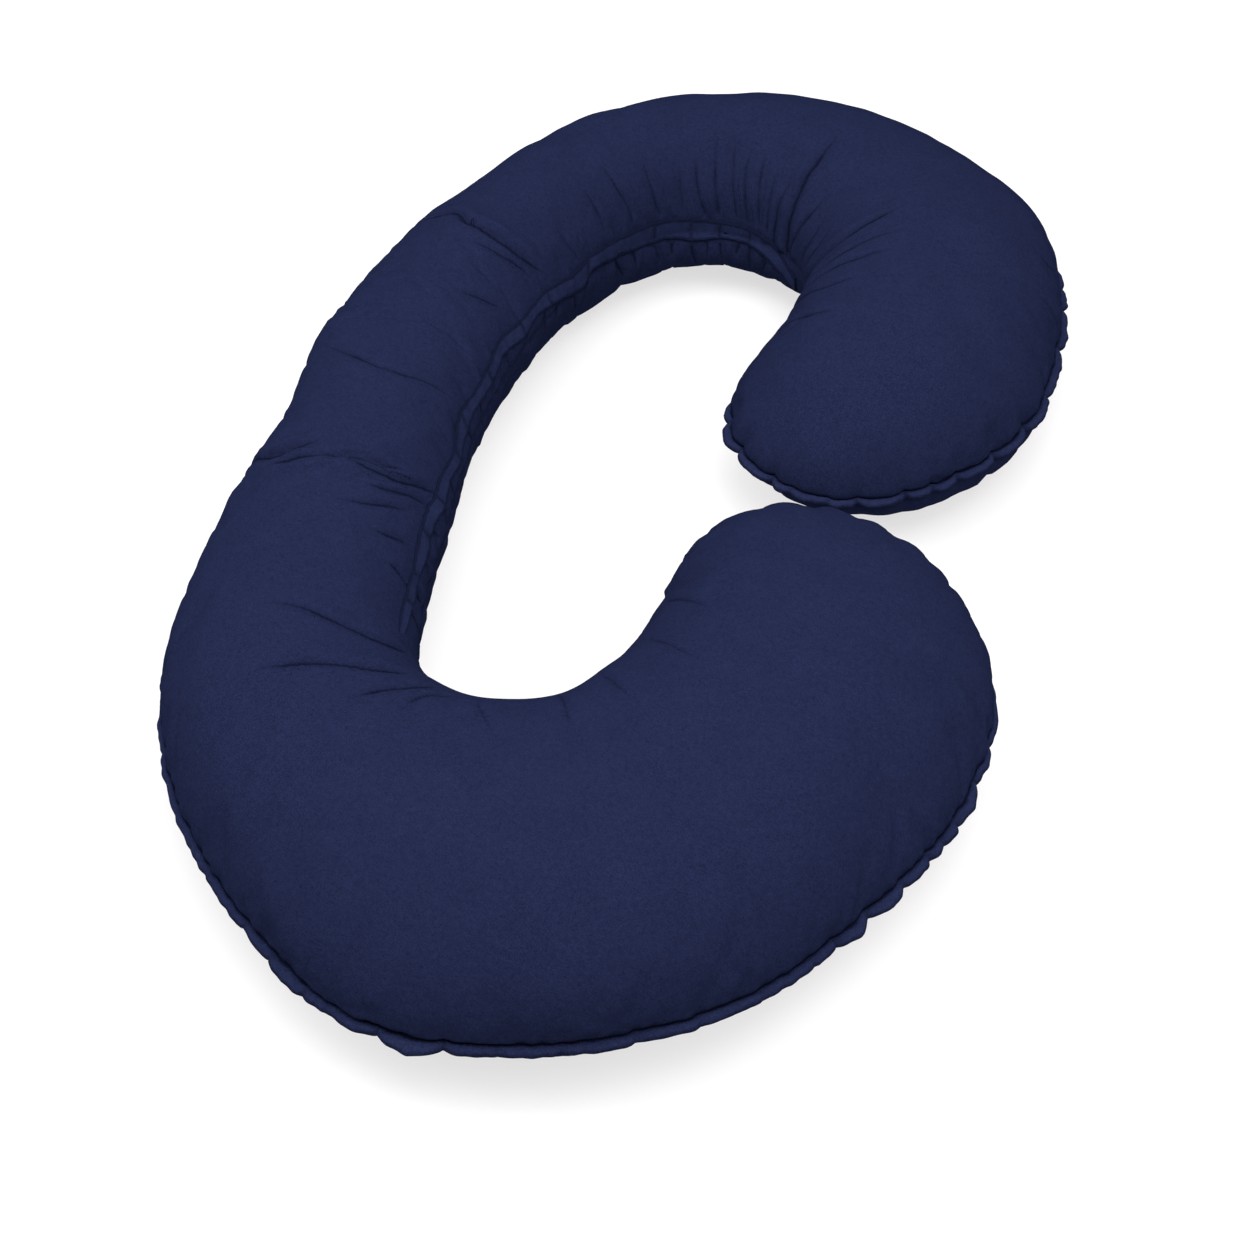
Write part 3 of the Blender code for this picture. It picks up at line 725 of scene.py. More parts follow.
    def simulated(self, grid: np.ndarray) -> np.ndarray:
        """Swell the coarse grid with the cloth simulation.

        Args:
            grid: the fine grid at rest.

        Returns:
            The coarse grid's points after the last frame.
        """
        scene = bpy.context.scene
        model = self.grid_mesh("cloth_trial", grid, 2, None)
        numbers = self.last_index
        held = model.vertex_groups.new(name="held")
        rim = self.rim_row // 2
        contact = len(self.crown_degrees) + len(self.underside_degrees)
        held.add(sorted(set(numbers[:, [rim, rim + 1]].ravel().tolist())), 1.0, "REPLACE")
        held.add(sorted(set(numbers[:, contact:].ravel().tolist())), 1.0, "REPLACE")
        cloth = model.modifiers.new("cloth", "CLOTH")
        settings = cloth.settings
        settings.quality = 6
        settings.mass = self.fabric_mass
        settings.tension_stiffness = settings.compression_stiffness = self.stretch_stiffness
        settings.shear_stiffness = self.shear_stiffness
        settings.bending_stiffness = self.bending_stiffness
        settings.air_damping = 2.0
        settings.use_pressure = True
        settings.uniform_pressure_force = self.pressure
        settings.shrink_min = -self.fabric_surplus
        settings.vertex_group_mass = "held"
        settings.pin_stiffness = 1.0
        settings.effector_weights.gravity = 0.0
        cloth.point_cache.frame_start = 1
        cloth.point_cache.frame_end = self.frames
        for number in range(1, self.frames + 1):
            scene.frame_set(number)
        shape = model.evaluated_get(bpy.context.evaluated_depsgraph_get())
        moved = np.empty(len(shape.data.vertices) * 3, dtype=np.float32)
        shape.data.vertices.foreach_get("co", moved)
        moved = moved.reshape(-1, 3)[numbers]
        mesh = model.data
        bpy.data.objects.remove(model, do_unlink=True)
        bpy.data.meshes.remove(mesh)
        scene.frame_set(1)
        return moved

    def normals(self, grid: np.ndarray) -> np.ndarray:
        """Return the outward unit vectors of a grid."""
        along = np.roll(grid, -1, axis=0) - np.roll(grid, 1, axis=0)
        down = np.gradient(grid, axis=1)
        normal = unit(np.cross(along, down))
        normal[:, 0] = (0.0, 0.0, 1.0)
        normal[:, -5:] = (0.0, 0.0, -1.0)
        middle = self.form.rim - self.form.ridge
        check = (normal[:, self.rim_row // 2, :2] * middle).sum(axis=1)
        if np.median(check) < 0.0:
            normal[:, 1:-5] *= -1.0
        return normal

    def from_seam(self, grid: np.ndarray) -> np.ndarray:
        """Return each grid place's distance from the seam, measured over the cloth."""
        steps = np.linalg.norm(np.diff(grid, axis=1), axis=-1)
        result = np.zeros(grid.shape[:2])
        result[:, :self.rim_row] = np.cumsum(steps[:, self.rim_row - 1::-1], axis=1)[:, ::-1]
        result[:, self.under_row + 1:] = np.cumsum(steps[:, self.under_row:], axis=1)
        return result

    def seam_share(self) -> np.ndarray:
        """Return 1 where a station carries the flange and 0 along the rest of the inner wall."""
        along, first = self.form.along, self.form.inner_start
        into = np.minimum(along - along[first], along[first + self.form.wall_count - 1] - along)
        return 1.0 - (into / self.seam_ease + 0.5).clip(0.0, 1.0)

    def scallops(self, along: np.ndarray) -> np.ndarray:
        """Return how far the seam bows out between its notches and is drawn in at them.

        Args:
            along: distances from the flange's upper end.
        """
        notches = sorted(self.all_notches(), key=lambda notch: notch.along)
        places = np.array([notch.along for notch in notches])
        depths = np.array([notch.depth for notch in notches])
        first = (np.searchsorted(places, along) - 1).clip(0, len(places) - 2)
        span = places[first + 1] - places[first]
        share = ((along - places[first]) / span).clip(0.0, 1.0)
        size = (depths[first] * (1.0 - share) + depths[first + 1] * share) * (span / self.usual_span).clip(0.35, 1.0)
        return self.scallop_height * size * ((4.0 * share * (1.0 - share)) ** self.scallop_power - 0.62)

    def signed_along(self) -> np.ndarray:
        """Return each station's distance from the flange's upper end, just below zero just before it."""
        along = self.form.flange_along()
        return np.where(along > self.form.length - 0.15, along - self.form.length, along)

    def panel_share(self, along: np.ndarray) -> np.ndarray:
        """Return the panel's share of the scallops: the ribbon has the rest, but behind the lobe there is no rest."""
        return np.interp(along, (3.50, 3.60), (self.scallop_share, self.lobe_scallop_share))

    def outset(self) -> np.ndarray:
        """Return how far each station's seam stands out past the plain form."""
        wrapped = self.signed_along()
        past = np.exp(-(np.maximum(wrapped - SEAM_REACH[-1][0], 0.0) / self.past_seam_reach) ** 2)
        return self.rounded(looked_up(wrapped, SEAM_REACH) * past)

    def all_notches(self) -> list[Notch]:
        """Return the notches that the pictured side shows and seeded ones along the seam's hidden stretch."""
        rng = np.random.default_rng(self.seed)
        notches = list(NOTCHES)
        place = 0.800
        while place < 2.490:
            sizes = (rng.uniform(0.004, 0.006), rng.uniform(0.0008, 0.0016), rng.uniform(0.016, 0.026))
            notches.append(Notch(place, *sizes))
            place += rng.uniform(0.036, 0.078)
        return notches

    def gap_to(self, from_flange_end: float) -> np.ndarray:
        """Return each station's signed distance along the loop from a place on the flange."""
        gap = self.form.along - self.form.loop_along(from_flange_end)
        half = self.form.length / 2.0
        return (gap + half) % self.form.length - half

    def puckered(self, grid: np.ndarray) -> np.ndarray:
        """Draw the cloth in at the seam, with its notches, puckers, gathers and the filling's lumps."""
        distance = self.from_seam(grid)
        shaped = grid + self.normals(grid) * self.cloth_push(grid, distance)[..., None]
        shaped[..., :2] += self.form.outward[:, None, :] * self.stand_out(distance)[..., None]
        shaped[..., 2] = shaped[..., 2].clip(0.0)
        return shaped

    def cloth_push(self, grid: np.ndarray, distance: np.ndarray) -> np.ndarray:
        """Return how far each place is pushed along its normal by lumps, puckers, ripples and gathers.

        Args:
            grid: the surface's points.
            distance: each place's distance from the seam.
        """
        form = self.form
        flanged = self.seam_share()[:, None]
        push = self.lump_height * lumps(grid, 0.10, 0.26, 14, self.seed) * (distance / 0.05).clip(0.0, 1.0)
        push += 0.0005 * lumps(grid, 0.030, 0.060, 16, self.seed + 1)
        for notch in self.all_notches():
            gap = self.gap_to(notch.along)[:, None]
            on_lobe = 3.60 < notch.along < 4.06
            skew = 0.27 if on_lobe else 0.25 * math.sin(41.0 * notch.along)
            width = notch.half_width + self.pucker_spread * (0.35 if on_lobe else 1.0) * distance
            stretch = self.short_reach if 2.5 < notch.along < 3.56 else 1.0
            stretch = self.upper_reach if notch.along < 0.75 else stretch
            stretch = self.long_reach if on_lobe else stretch
            share = np.exp(-((gap - skew * distance) / width) ** 2)
            share = share * np.exp(-(distance / (notch.reach * stretch)) ** 1.3)
            push -= self.pucker_depth * stretch * notch.depth * share
        small = ripple(form.along, 0.014, 0.030, 9, self.seed + 2)[:, None]
        wide = ripple(form.along, 0.034, 0.062, 7, self.seed + 3)[:, None]
        height = self.ripple_height * (0.45 + 0.55 * flanged)
        push += height * small * np.exp(-distance / self.ripple_reach)
        push += 0.8 * height * wide * np.exp(-distance / (2.0 * self.ripple_reach))
        push += self.gathers(distance)
        push[:, -self.base_rows:] = 0.0
        return push

    def stand_out(self, distance: np.ndarray) -> np.ndarray:
        """Return how far each place stands out in plan past the plain form.

        Args:
            distance: each place's distance from the seam.
        """
        form = self.form
        flanged = self.seam_share()[:, None]
        out = -self.seam_inset * np.exp(-(distance / self.inset_spread) ** 2)
        out[:, self.rim_row + 1] -= self.edge_sunk
        along = form.flange_along()
        out += self.outset()[:, None] * np.exp(-(distance / self.outset_spread) ** 2)
        crown = self.rounded(looked_up(along, CROWN_REACH))[:, None]
        above = np.arange(self.rows)[None, :] < self.rim_row
        on_crown = np.exp(-((distance - self.crown_reach_at) / self.crown_spread) ** 2)
        out += np.where(above, crown * flanged, 0.0) * on_crown
        inner_reach = self.rounded(looked_up(form.section, INNER_REACH))[:, None]
        out += (1.0 - flanged) * inner_reach * np.exp(-(distance / self.inner_spread) ** 2)
        near = self.scallops(self.signed_along()) * self.panel_share(along)
        spread = np.interp(along, (0.75, 0.85, 3.50, 3.60), (
            self.lobe_scallop_spread, self.scallop_spread, self.scallop_spread, self.lobe_scallop_spread))[:, None]
        bow = near[:, None] * flanged * np.exp(-(distance / spread) ** 1.5)
        below = np.arange(self.rows)[None, :] >= self.under_row
        inner = (1.0 - flanged) * self.rounded(looked_up(form.section, INNER_SWELL))[:, None]
        swell = (looked_up(along, LOWER_SWELL)[:, None] + inner) * below
        swell = swell * np.sin(math.pi * (distance / self.lower_swell_reach).clip(0.0, 1.0))
        return out + bow + swell

    def gathers(self, distance: np.ndarray) -> np.ndarray:
        """Return the upright folds of the lower panel, strongest under the placket on the inner wall."""
        form = self.form
        below = np.arange(self.rows)[None, :] >= self.under_row
        inner = (1.0 - self.seam_share())[:, None]
        wave = ripple(form.along, 0.075, 0.150, 7, self.seed + 4)[:, None]
        small = ripple(form.along, 0.036, 0.070, 6, self.seed + 5)[:, None]
        folds = 0.30 - 0.8 * np.exp(-np.abs(wave) / 0.24) + 0.30 * small
        line = looked_up(form.section, PLACKET_LOWER_LINE)[:, None]
        start = np.where(inner > 0.5, line, 1.0)
        ease = ((self.across[None, :] - start) / self.gather_ease).clip(0.0, 1.0)
        fade = np.exp(-distance / self.gather_reach) * ease
        return np.where(below, self.gather_height * (0.35 + 0.65 * inner) * folds * fade, 0.0)

    def place(self, grid: np.ndarray, section: float, across: float) -> np.ndarray:
        """Return the point of a grid at a section number and a signed place across."""
        wall = Wall.OUTER if across >= 0.0 else Wall.INNER
        station = self.form.station(section, wall)
        row = float(np.interp(abs(across), self.across, np.arange(self.rows)))
        low, column = int(math.floor(station)), int(math.floor(row))
        column = min(column, self.rows - 2)
        s, t = station - low, row - column
        near, far = grid[low % self.form.count], grid[(low + 1) % self.form.count]
        return ((1 - s) * ((1 - t) * near[column] + t * near[column + 1])
                + s * ((1 - t) * far[column] + t * far[column + 1]))

    def creased(self, grid: np.ndarray) -> np.ndarray:
        """Press the pictured creases into the cloth, each a soft trough with a lip on one side, and paint shade along
        the seam's root, in the creases and low on the inner wall.
        """
        normal = self.normals(grid)
        rest = grid.copy()
        push = np.zeros(grid.shape[:2])
        # painted shade: a dark line along the seam's root, where the flange is
        shade = self.seam_shade * np.exp(-(self.from_seam(grid) / self.seam_shade_reach) ** 2)
        shade = shade * self.seam_share()[:, None]
        self.gap = np.full(grid.shape[:2], 0.05)
        self.crease_size = np.zeros(grid.shape[:2])
        for number, crease in enumerate(CREASES + self.wall_folds()):
            self.press(crease, number, rest, normal, push, shade)
        # painted shade low on the lower panel of the inner wall
        low = ((self.across[None, :] - 0.92) / 0.10).clip(0.0, 1.0) * (1.0 - self.seam_share())[:, None]
        self.shade = np.maximum(shade, self.wall_shade * low)
        push[:, -self.base_rows:] = 0.0
        return grid + normal * push[..., None]

    def press(
        self, crease: Crease, number: int, rest: np.ndarray, normal: np.ndarray, push: np.ndarray, shade: np.ndarray
    ) -> None:
        """Press one crease into the cloth.

        Args:
            crease: the crease.
            number: its number, which seeds its waver.
            rest: the surface's points before any crease.
            normal: the surface's normals.
            push: how far each place is pushed along its normal, changed in place.
            shade: how deep in shade each place lies, changed in place.
        """
        nodes = smooth_rows(crease.points, 12)
        nodes[:, 0] += 0.004 * ripple(np.arange(len(nodes)) / 6.0, 1.2, 3.0, 4, 60 + number)
        line = np.array([self.place(rest, *node) for node in nodes])
        length = run_lengths(line)
        marks = np.linspace(0.0, length[-1], max(8, int(length[-1] / 0.002)))
        line = np.column_stack([np.interp(marks, length, line[:, axis]) for axis in range(3)])
        tangent = unit(np.gradient(line, axis=0))
        share = marks / length[-1]
        fade = self.eased(share / max(crease.lead, 1e-3)) * self.eased((1.0 - share) / max(crease.tail, 1e-3))
        waver = 1.0 + 0.22 * ripple(marks, 0.03, 0.08, 5, 90 + number)
        depth, width = crease.depth * fade * waver, self.crease_width * crease.half_width * (0.75 + 0.35 * fade)
        margin = 4.0 * crease.half_width
        inside = ((rest > line.min(0) - margin) & (rest < line.max(0) + margin)).all(axis=-1)
        points = rest[inside]
        gaps = points[:, None, :] - line[None, :, :]
        nearest = (gaps ** 2).sum(axis=-1).argmin(axis=1)
        gap = gaps[np.arange(len(points)), nearest]
        sideways = np.cross(normal[inside], tangent[nearest])
        signed = (gap * sideways).sum(axis=-1)
        radius = np.linalg.norm(gap, axis=-1)
        w = width[nearest]
        trough = 0.45 * np.exp(-(radius / w) ** 2) + 0.55 * np.exp(-radius / (0.42 * w))
        lip = np.exp(-((np.sign(signed) * radius - 1.7 * w) / (1.25 * w)) ** 2)
        other = np.exp(-((np.sign(signed) * radius + 1.9 * w) / (1.5 * w)) ** 2)
        push[inside] += depth[nearest] * (crease.lip * lip + 0.4 * crease.lip * other - trough)
        # painted shade in the crease's trough, and the marks for a painted dark line along it
        size = (depth[nearest] / self.full_crease).clip(0.0, 1.0)
        shade[inside] = np.maximum(shade[inside], self.crease_shade * size * np.exp(-(radius / (0.6 * w)) ** 2))
        size = size * self.eased(2.0 * (1.0 - radius / self.line_reach))
        closer = (np.abs(signed) < np.abs(self.gap[inside])) & (size > 0.02)
        self.gap[inside] = np.where(closer, signed, self.gap[inside])
        self.crease_size[inside] = np.where(closer, size, self.crease_size[inside])

    @staticmethod
    def rounded(values: np.ndarray, half: int = 12) -> np.ndarray:
        """Return a loop's values with their corners rounded over a few stations."""
        kernel = np.hanning(2 * half + 3)[1:-1]
        padded = np.concatenate([values[-half:], values, values[:half]])
        return np.convolve(padded, kernel / kernel.sum(), mode="valid")

    @staticmethod
    def wall_folds() -> tuple[Crease, ...]:
        """Return the upright creases that run down from the placket's lower line."""
        folds = []
        for number, (section, lean) in enumerate(WALL_FOLDS):
            top = float(looked_up(section, PLACKET_LOWER_LINE))
            reach = (0.20, 0.28, 0.16, 0.24)[number % 4]
            points = tuple(
                (section + lean * share ** 1.5, -(top + 0.01 + reach * share)) for share in (0.0, 0.3, 0.65, 1.0))
            folds.append(Crease((0.0034, 0.0024, 0.0028)[number % 3], 0.0056, 0.04, 0.55, 0.40, points))
        return tuple(folds)

    @staticmethod
    def eased(share: np.ndarray) -> np.ndarray:
        """Return a soft ramp from 0 to 1."""
        t = np.clip(share, 0.0, 1.0)
        return t * t * (3.0 - 2.0 * t)

    def panel_uv(self, grid: np.ndarray) -> np.ndarray:
        """Return cloth coordinates in metres: each panel laid out flat from the tube's middle line."""
        steps = np.linalg.norm(np.diff(grid, axis=1), axis=-1)
        reach = np.zeros(grid.shape[:2])
        reach[:, 1:self.rim_row + 2] = np.cumsum(steps[:, :self.rim_row + 1], axis=1)
        reach[:, self.rim_row + 2:-1] = np.cumsum(steps[:, :self.rim_row + 1:-1], axis=1)[:, ::-1]
        direction = unit(self.form.rim - self.form.ridge)
        return self.form.ridge[:, None, :] + direction[:, None, :] * reach[..., None]

    def build(self) -> bpy.types.Object:
        """Build the dressed body.

        Returns:
            The body's object. Its final grid is kept for the pieces sewn to it.
        """
        grid = self.rest_grid()
        grid = self.relaxed(grid)
        grid = self.creased(self.puckered(grid))
        grid[..., 2] = grid[..., 2].clip(0.0)
        self.grid = grid
        piece = self.grid_mesh(self.name, grid, 1, self.panel_uv(grid))
        # self.shade is painted shade; gap and crease place a painted dark line, and a pressed bump, along each crease
        for label, values in (("painted_shade", self.shade), ("gap", self.gap), ("crease", self.crease_size)):
            store(piece, label, values.reshape(-1)[self.last_used])
        face_outwards(piece)
        return piece


@dataclass
class SeamFlange:
    """The turned-out seam allowance: a rolled ribbon that is pinched into scallops."""

    body: PillowBody
    name: str = "rolled_flange"
    stations: int = 2400
    width: float = 0.0100
    half_thickness: float = 0.0019
    end_overrun: float = 0.095
    upper_taper: float = 0.060
    lower_taper: float = 0.014
    flat_width: float = 0.014
    # painted shade at the ribbon's root, on its outer and lower edge, and in its pinches
    root_shade: float = 0.85
    edge_shade: float = 0.42
    notch_shade: float = 0.45
    droop: float = 0.0034
    pinch: float = 0.16
    pinch_reach: float = 0.006
    full_notch: float = 0.0048
    full_shade_notch: float = 0.0045
    tuck_lift: float = 0.0016
    ruffle: float = 0.0006
    start_turn: float = 3.0 / 18.0
    laid_from: float = 0.75
    laid_to: float = 2.61
    laid_ease: float = 0.14
    laid_degrees: float = 66.0

    # across as a share of the width, and height as a share of the half thickness
    ring = (
        (-0.42, 0.30), (-0.05, 0.25), (0.12, 0.30), (0.24, 0.75), (0.40, 1.30), (0.62, 1.60), (0.82, 1.40),
        (0.96, 0.80), (1.00, 0.05), (0.94, -0.75), (0.74, -1.20), (0.35, -1.10), (-0.42, -0.60),
    )

    def path(self) -> tuple[np.ndarray, np.ndarray, np.ndarray]:
        """Return root points, outward directions and distances from the upper end, evenly spaced."""
        form = self.body.form
        lower_start = form.inner_start + form.wall_count - 1 + self.start_turn * form.lobe_steps
        first = np.interp(lower_start, np.arange(form.count), form.along) - form.length
        last = form.loop_along(-self.end_overrun)
        places = np.linspace(first, last, self.stations) % form.length
        around = np.concatenate([form.along, [form.length]])
        rim_row = self.body.grid[:, self.body.rim_row + 1]
        seam = np.concatenate([rim_row, rim_row[:1]])
        root = np.column_stack([np.interp(places, around, seam[:, axis]) for axis in range(3)])
        normals = np.concatenate([form.outward, form.outward[:1]])
        outward = unit(np.column_stack([np.interp(places, around, normals[:, axis]) for axis in range(2)]))
        return root, outward, np.linspace(last - first, 0.0, self.stations) - self.end_overrun

    def scallops(self, along: np.ndarray) -> tuple[np.ndarray, np.ndarray, np.ndarray]:
        """Return the width's share, the tuck's lift and the ruffle at distances from the upper end."""
        notches = sorted(self.body.all_notches(), key=lambda notch: notch.along)
        places = np.array([notch.along for notch in notches])
        depths = np.array([notch.depth for notch in notches]) / self.full_notch
        width = 1.0 + 0.04 * ripple(along, 0.040, 0.100, 6, 23)
        lift = np.zeros_like(along)
        for place, depth in zip(places, depths):
            gap = along - place
            width -= self.pinch * depth * np.exp(-np.abs(gap) / self.pinch_reach)
            side = np.where(gap > 0.0, np.exp(-gap / 0.009), -0.45 * np.exp(gap / 0.006))
            lift += depth * side * np.tanh(np.abs(gap) / 0.0012)
        return width, lift, ripple(along, 0.030, 0.075, 8, 21) + 0.4 * ripple(along, 0.012, 0.022, 6, 22)

    def laid_angle(self, along: np.ndarray) -> np.ndarray:
        """Return how far the ribbon is turned down against the far wall, at distances along it."""
        share = np.minimum(along - self.laid_from, self.laid_to - along) / self.laid_ease
        return math.radians(self.laid_degrees) * PillowBody.eased(share)

    def build(self) -> bpy.types.Object:
        """Build the ribbon.

        Returns:
            The flange's object.
        """
        root, outward, along = self.path()
        share, lift, wave = self.scallops(along)
        ring = np.array(self.ring)
        rest = self.body.scallops(along) * (1.0 - self.body.panel_share(along)).clip(0.0)
        width = self.width * share * looked_up(along, WIDTH_SHARES) + rest
        width += looked_up(along, BROAD_PLACES)
        ends = np.minimum((along - along.min()) / self.upper_taper, (along.max() - along) / self.lower_taper)
        width *= 0.10 + 0.90 * PillowBody.eased(ends)
        tuck = np.tanh(np.abs(lift))
        laid = self.laid_angle(along)
        points = []
        for across, height in ring:
            reach = across * width if across > 0.0 else np.full_like(width, across * self.width)
            out = max(across, 0.0)
            thick = self.half_thickness * (1.0 + 0.18 * out * wave)
            rise = (height * thick - self.droop * out ** 1.3 + out * (self.tuck_lift * lift + self.ruffle * wave))
            free = np.maximum(reach - self.width * 0.30, 0.0)
            reach = reach - free * (1.0 - np.cos(laid)) + height * thick * np.sin(laid) * min(1.0, 2.0 * out)
            rise = rise - free * np.sin(laid)
            place = np.column_stack([root[:, :2] + outward * (reach + 0.0015 * out * tuck)[:, None], root[:, 2] + rise])
            points.append(place)
        grid = np.stack(points, axis=1)
        around = run_lengths(grid[len(root) // 2])
        uv = np.stack(np.broadcast_arrays(along[:, None], around[None, :]), axis=-1)
        self.grid = grid
        self.length = float(along.max() - along.min())
        return tube_piece(self.name, grid, uv, self.shading(along, ring[:, 0], ring[:, 1]))

    def shading(self, along: np.ndarray, across: np.ndarray, height: np.ndarray) -> np.ndarray:
        """Return the painted shade of each place of the ribbon: darker at its root, its outer edge and its pinches.

        Args:
            along: distances from the upper end.
            across: each ring corner's share of the width.
            height: each ring corner's share of the half thickness.
        """
        root = self.root_shade * (across < 0.20)
        edge = self.edge_shade * ((across > 0.90) | (height < 0.0))
        pinch = np.zeros_like(along)
        for notch in self.body.all_notches():
            gap = along - notch.along
            near = np.where(gap < 0.0, np.exp(gap / 0.0016), np.exp(-gap / 0.0045))
            pinch = np.maximum(pinch, self.notch_shade * min(1.0, notch.depth / self.full_shade_notch) * near)
        return np.maximum((root + edge)[None, :], pinch[:, None])

    def stitch_line(self) -> np.ndarray:
        """Return the line of the stitches, in the groove beside the roll."""
        return self.grid[6:-6, 3] + np.array([0.0, 0.0, 0.0001])


@dataclass
class ZipPlacket:
    """The plain band that covers the zip, sewn along the inner wall between two uneven lines."""

    body: PillowBody
    name: str = "placket_band"
    first: float = 3.1
    last: float = 14.02
    lift: float = 0.0024
    edge_roll: float = 0.0004
    sunk: float = 0.0022
    sinks_over: float = 0.42
    flat_width: float = 0.025
    cloth_width: float = 0.023
    # painted shade on the band's hidden back, along both its edges and at its cross tucks
    back_shade: float = 0.9
    edge_share: float = 0.035
    edge_shade: float = 0.9
    tuck_shade: float = 0.55
    tuck_depth: float = 0.0009
    tuck_reach: float = 0.03
    roll_share: float = 0.10
    ripple_height: float = 0.0005
    ripple_step: float = 0.0026
    end_sunk: float = 0.0012
    strips: int = 11
    along_steps: int = 26

    def lines(self) -> tuple[np.ndarray, np.ndarray, np.ndarray]:
        """Return section numbers and the places across of the band's upper and lower lines."""
        count = int((self.last - self.first) * self.along_steps * 2)
        sections = np.linspace(self.first, self.last, count)
        upper = looked_up(sections, PLACKET_UPPER_LINE)
        lower = looked_up(sections, PLACKET_LOWER_LINE)
        kernel = np.hanning(11)
        kernel /= kernel.sum()
        smooth = [np.convolve(np.pad(line, 5, mode="edge"), kernel, mode="valid") for line in (upper, lower)]
        return sections, smooth[0], smooth[1]

    def build(self) -> bpy.types.Object:
        """Build the band.

        Returns:
            The placket's object.
        """
        sections, upper, lower = self.lines()
        normal_grid = self.body.normals(self.body.grid)
        shares = np.linspace(0.0, 1.0, self.strips + 1)
        shares = np.concatenate([[0.0, self.edge_share], shares[1:-1], [1.0 - self.edge_share, 1.0]])
        front = np.zeros((len(sections), len(shares), 3))
        normal = np.zeros_like(front)
        for i, section in enumerate(sections):
            for j, share in enumerate(shares):
                across = -(upper[i] * (1.0 - share) + lower[i] * share)
                front[i, j] = self.body.place(self.body.grid, section, across)
                normal[i, j] = self.body.place(normal_grid, section, across)
        for _ in range(6):
            front[1:-1] = (front[:-2] + 2.0 * front[1:-1] + front[2:]) / 4.0
            front[:, 1:-1] = (front[:, :-2] + 2.0 * front[:, 1:-1] + front[:, 2:]) / 4.0
            normal[1:-1] = unit(normal[:-2] + 2.0 * normal[1:-1] + normal[2:])
        crossing = np.exp(-np.abs(sections[:, None] - np.array(PLACKET_TUCKS)[None, :]) / self.tuck_reach).max(axis=1)
        outer = front + normal * self.height(sections, shares, crossing)[..., None]
        back = front - normal * self.sunk
        self.outer = outer
        ring = np.concatenate([outer, back[:, ::-1]], axis=1)
        steps = run_lengths(outer[:, 0])
        across = np.concatenate([shares, 2.1 - shares[::-1]]) * self.cloth_width
        uv = np.stack(np.broadcast_arrays(steps[:, None], across[None, :]), axis=-1)
        self.length = float(steps[-1])
        # painted shade: dark lines along both edges, darker at the cross tucks, and on the hidden back
        edges = (self.edge_shade * (1.6 - 12.0 * np.minimum(shares, 1.0 - shares)).clip(0.0, 1.0))[None, :]
        edges = np.repeat(edges, len(outer), 0)
        shade = np.concatenate([
            np.maximum(edges, self.tuck_shade * crossing[:, None]), np.full_like(edges, self.back_shade)], axis=1)
        return tube_piece(self.name, ring, uv, shade)

    def height(self, sections: np.ndarray, shares: np.ndarray, crossing: np.ndarray) -> np.ndarray:
        """Return how far the band stands over the body.

        Args:
            sections: section numbers along the band.
            shares: places across the band, 0 at its upper line and 1 at its lower one.
            crossing: how near a cross tuck each section is, from 0 to 1.
        """
        edge = np.exp(-shares / self.roll_share) + np.exp(-(1.0 - shares) / self.roll_share)
        tuck = self.ripple_height * ripple(np.arange(len(sections)) * self.ripple_step, 0.022, 0.050, 7, 31)[:, None]
        height = self.lift + self.edge_roll * edge[None, :] + tuck * (1.0 - 0.5 * edge[None, :])
        height = height - self.tuck_depth * crossing[:, None]
        sinking = PillowBody.eased((self.last - sections) / self.sinks_over)[:, None]
        return height * sinking - self.end_sunk * (1.0 - sinking)

    def stitch_lines(self) -> list[np.ndarray]:
        """Return the two lines of stitches, just inside the band's edges."""
        return [self.outer[3:-3, 1], self.outer[3:-3, -2]]


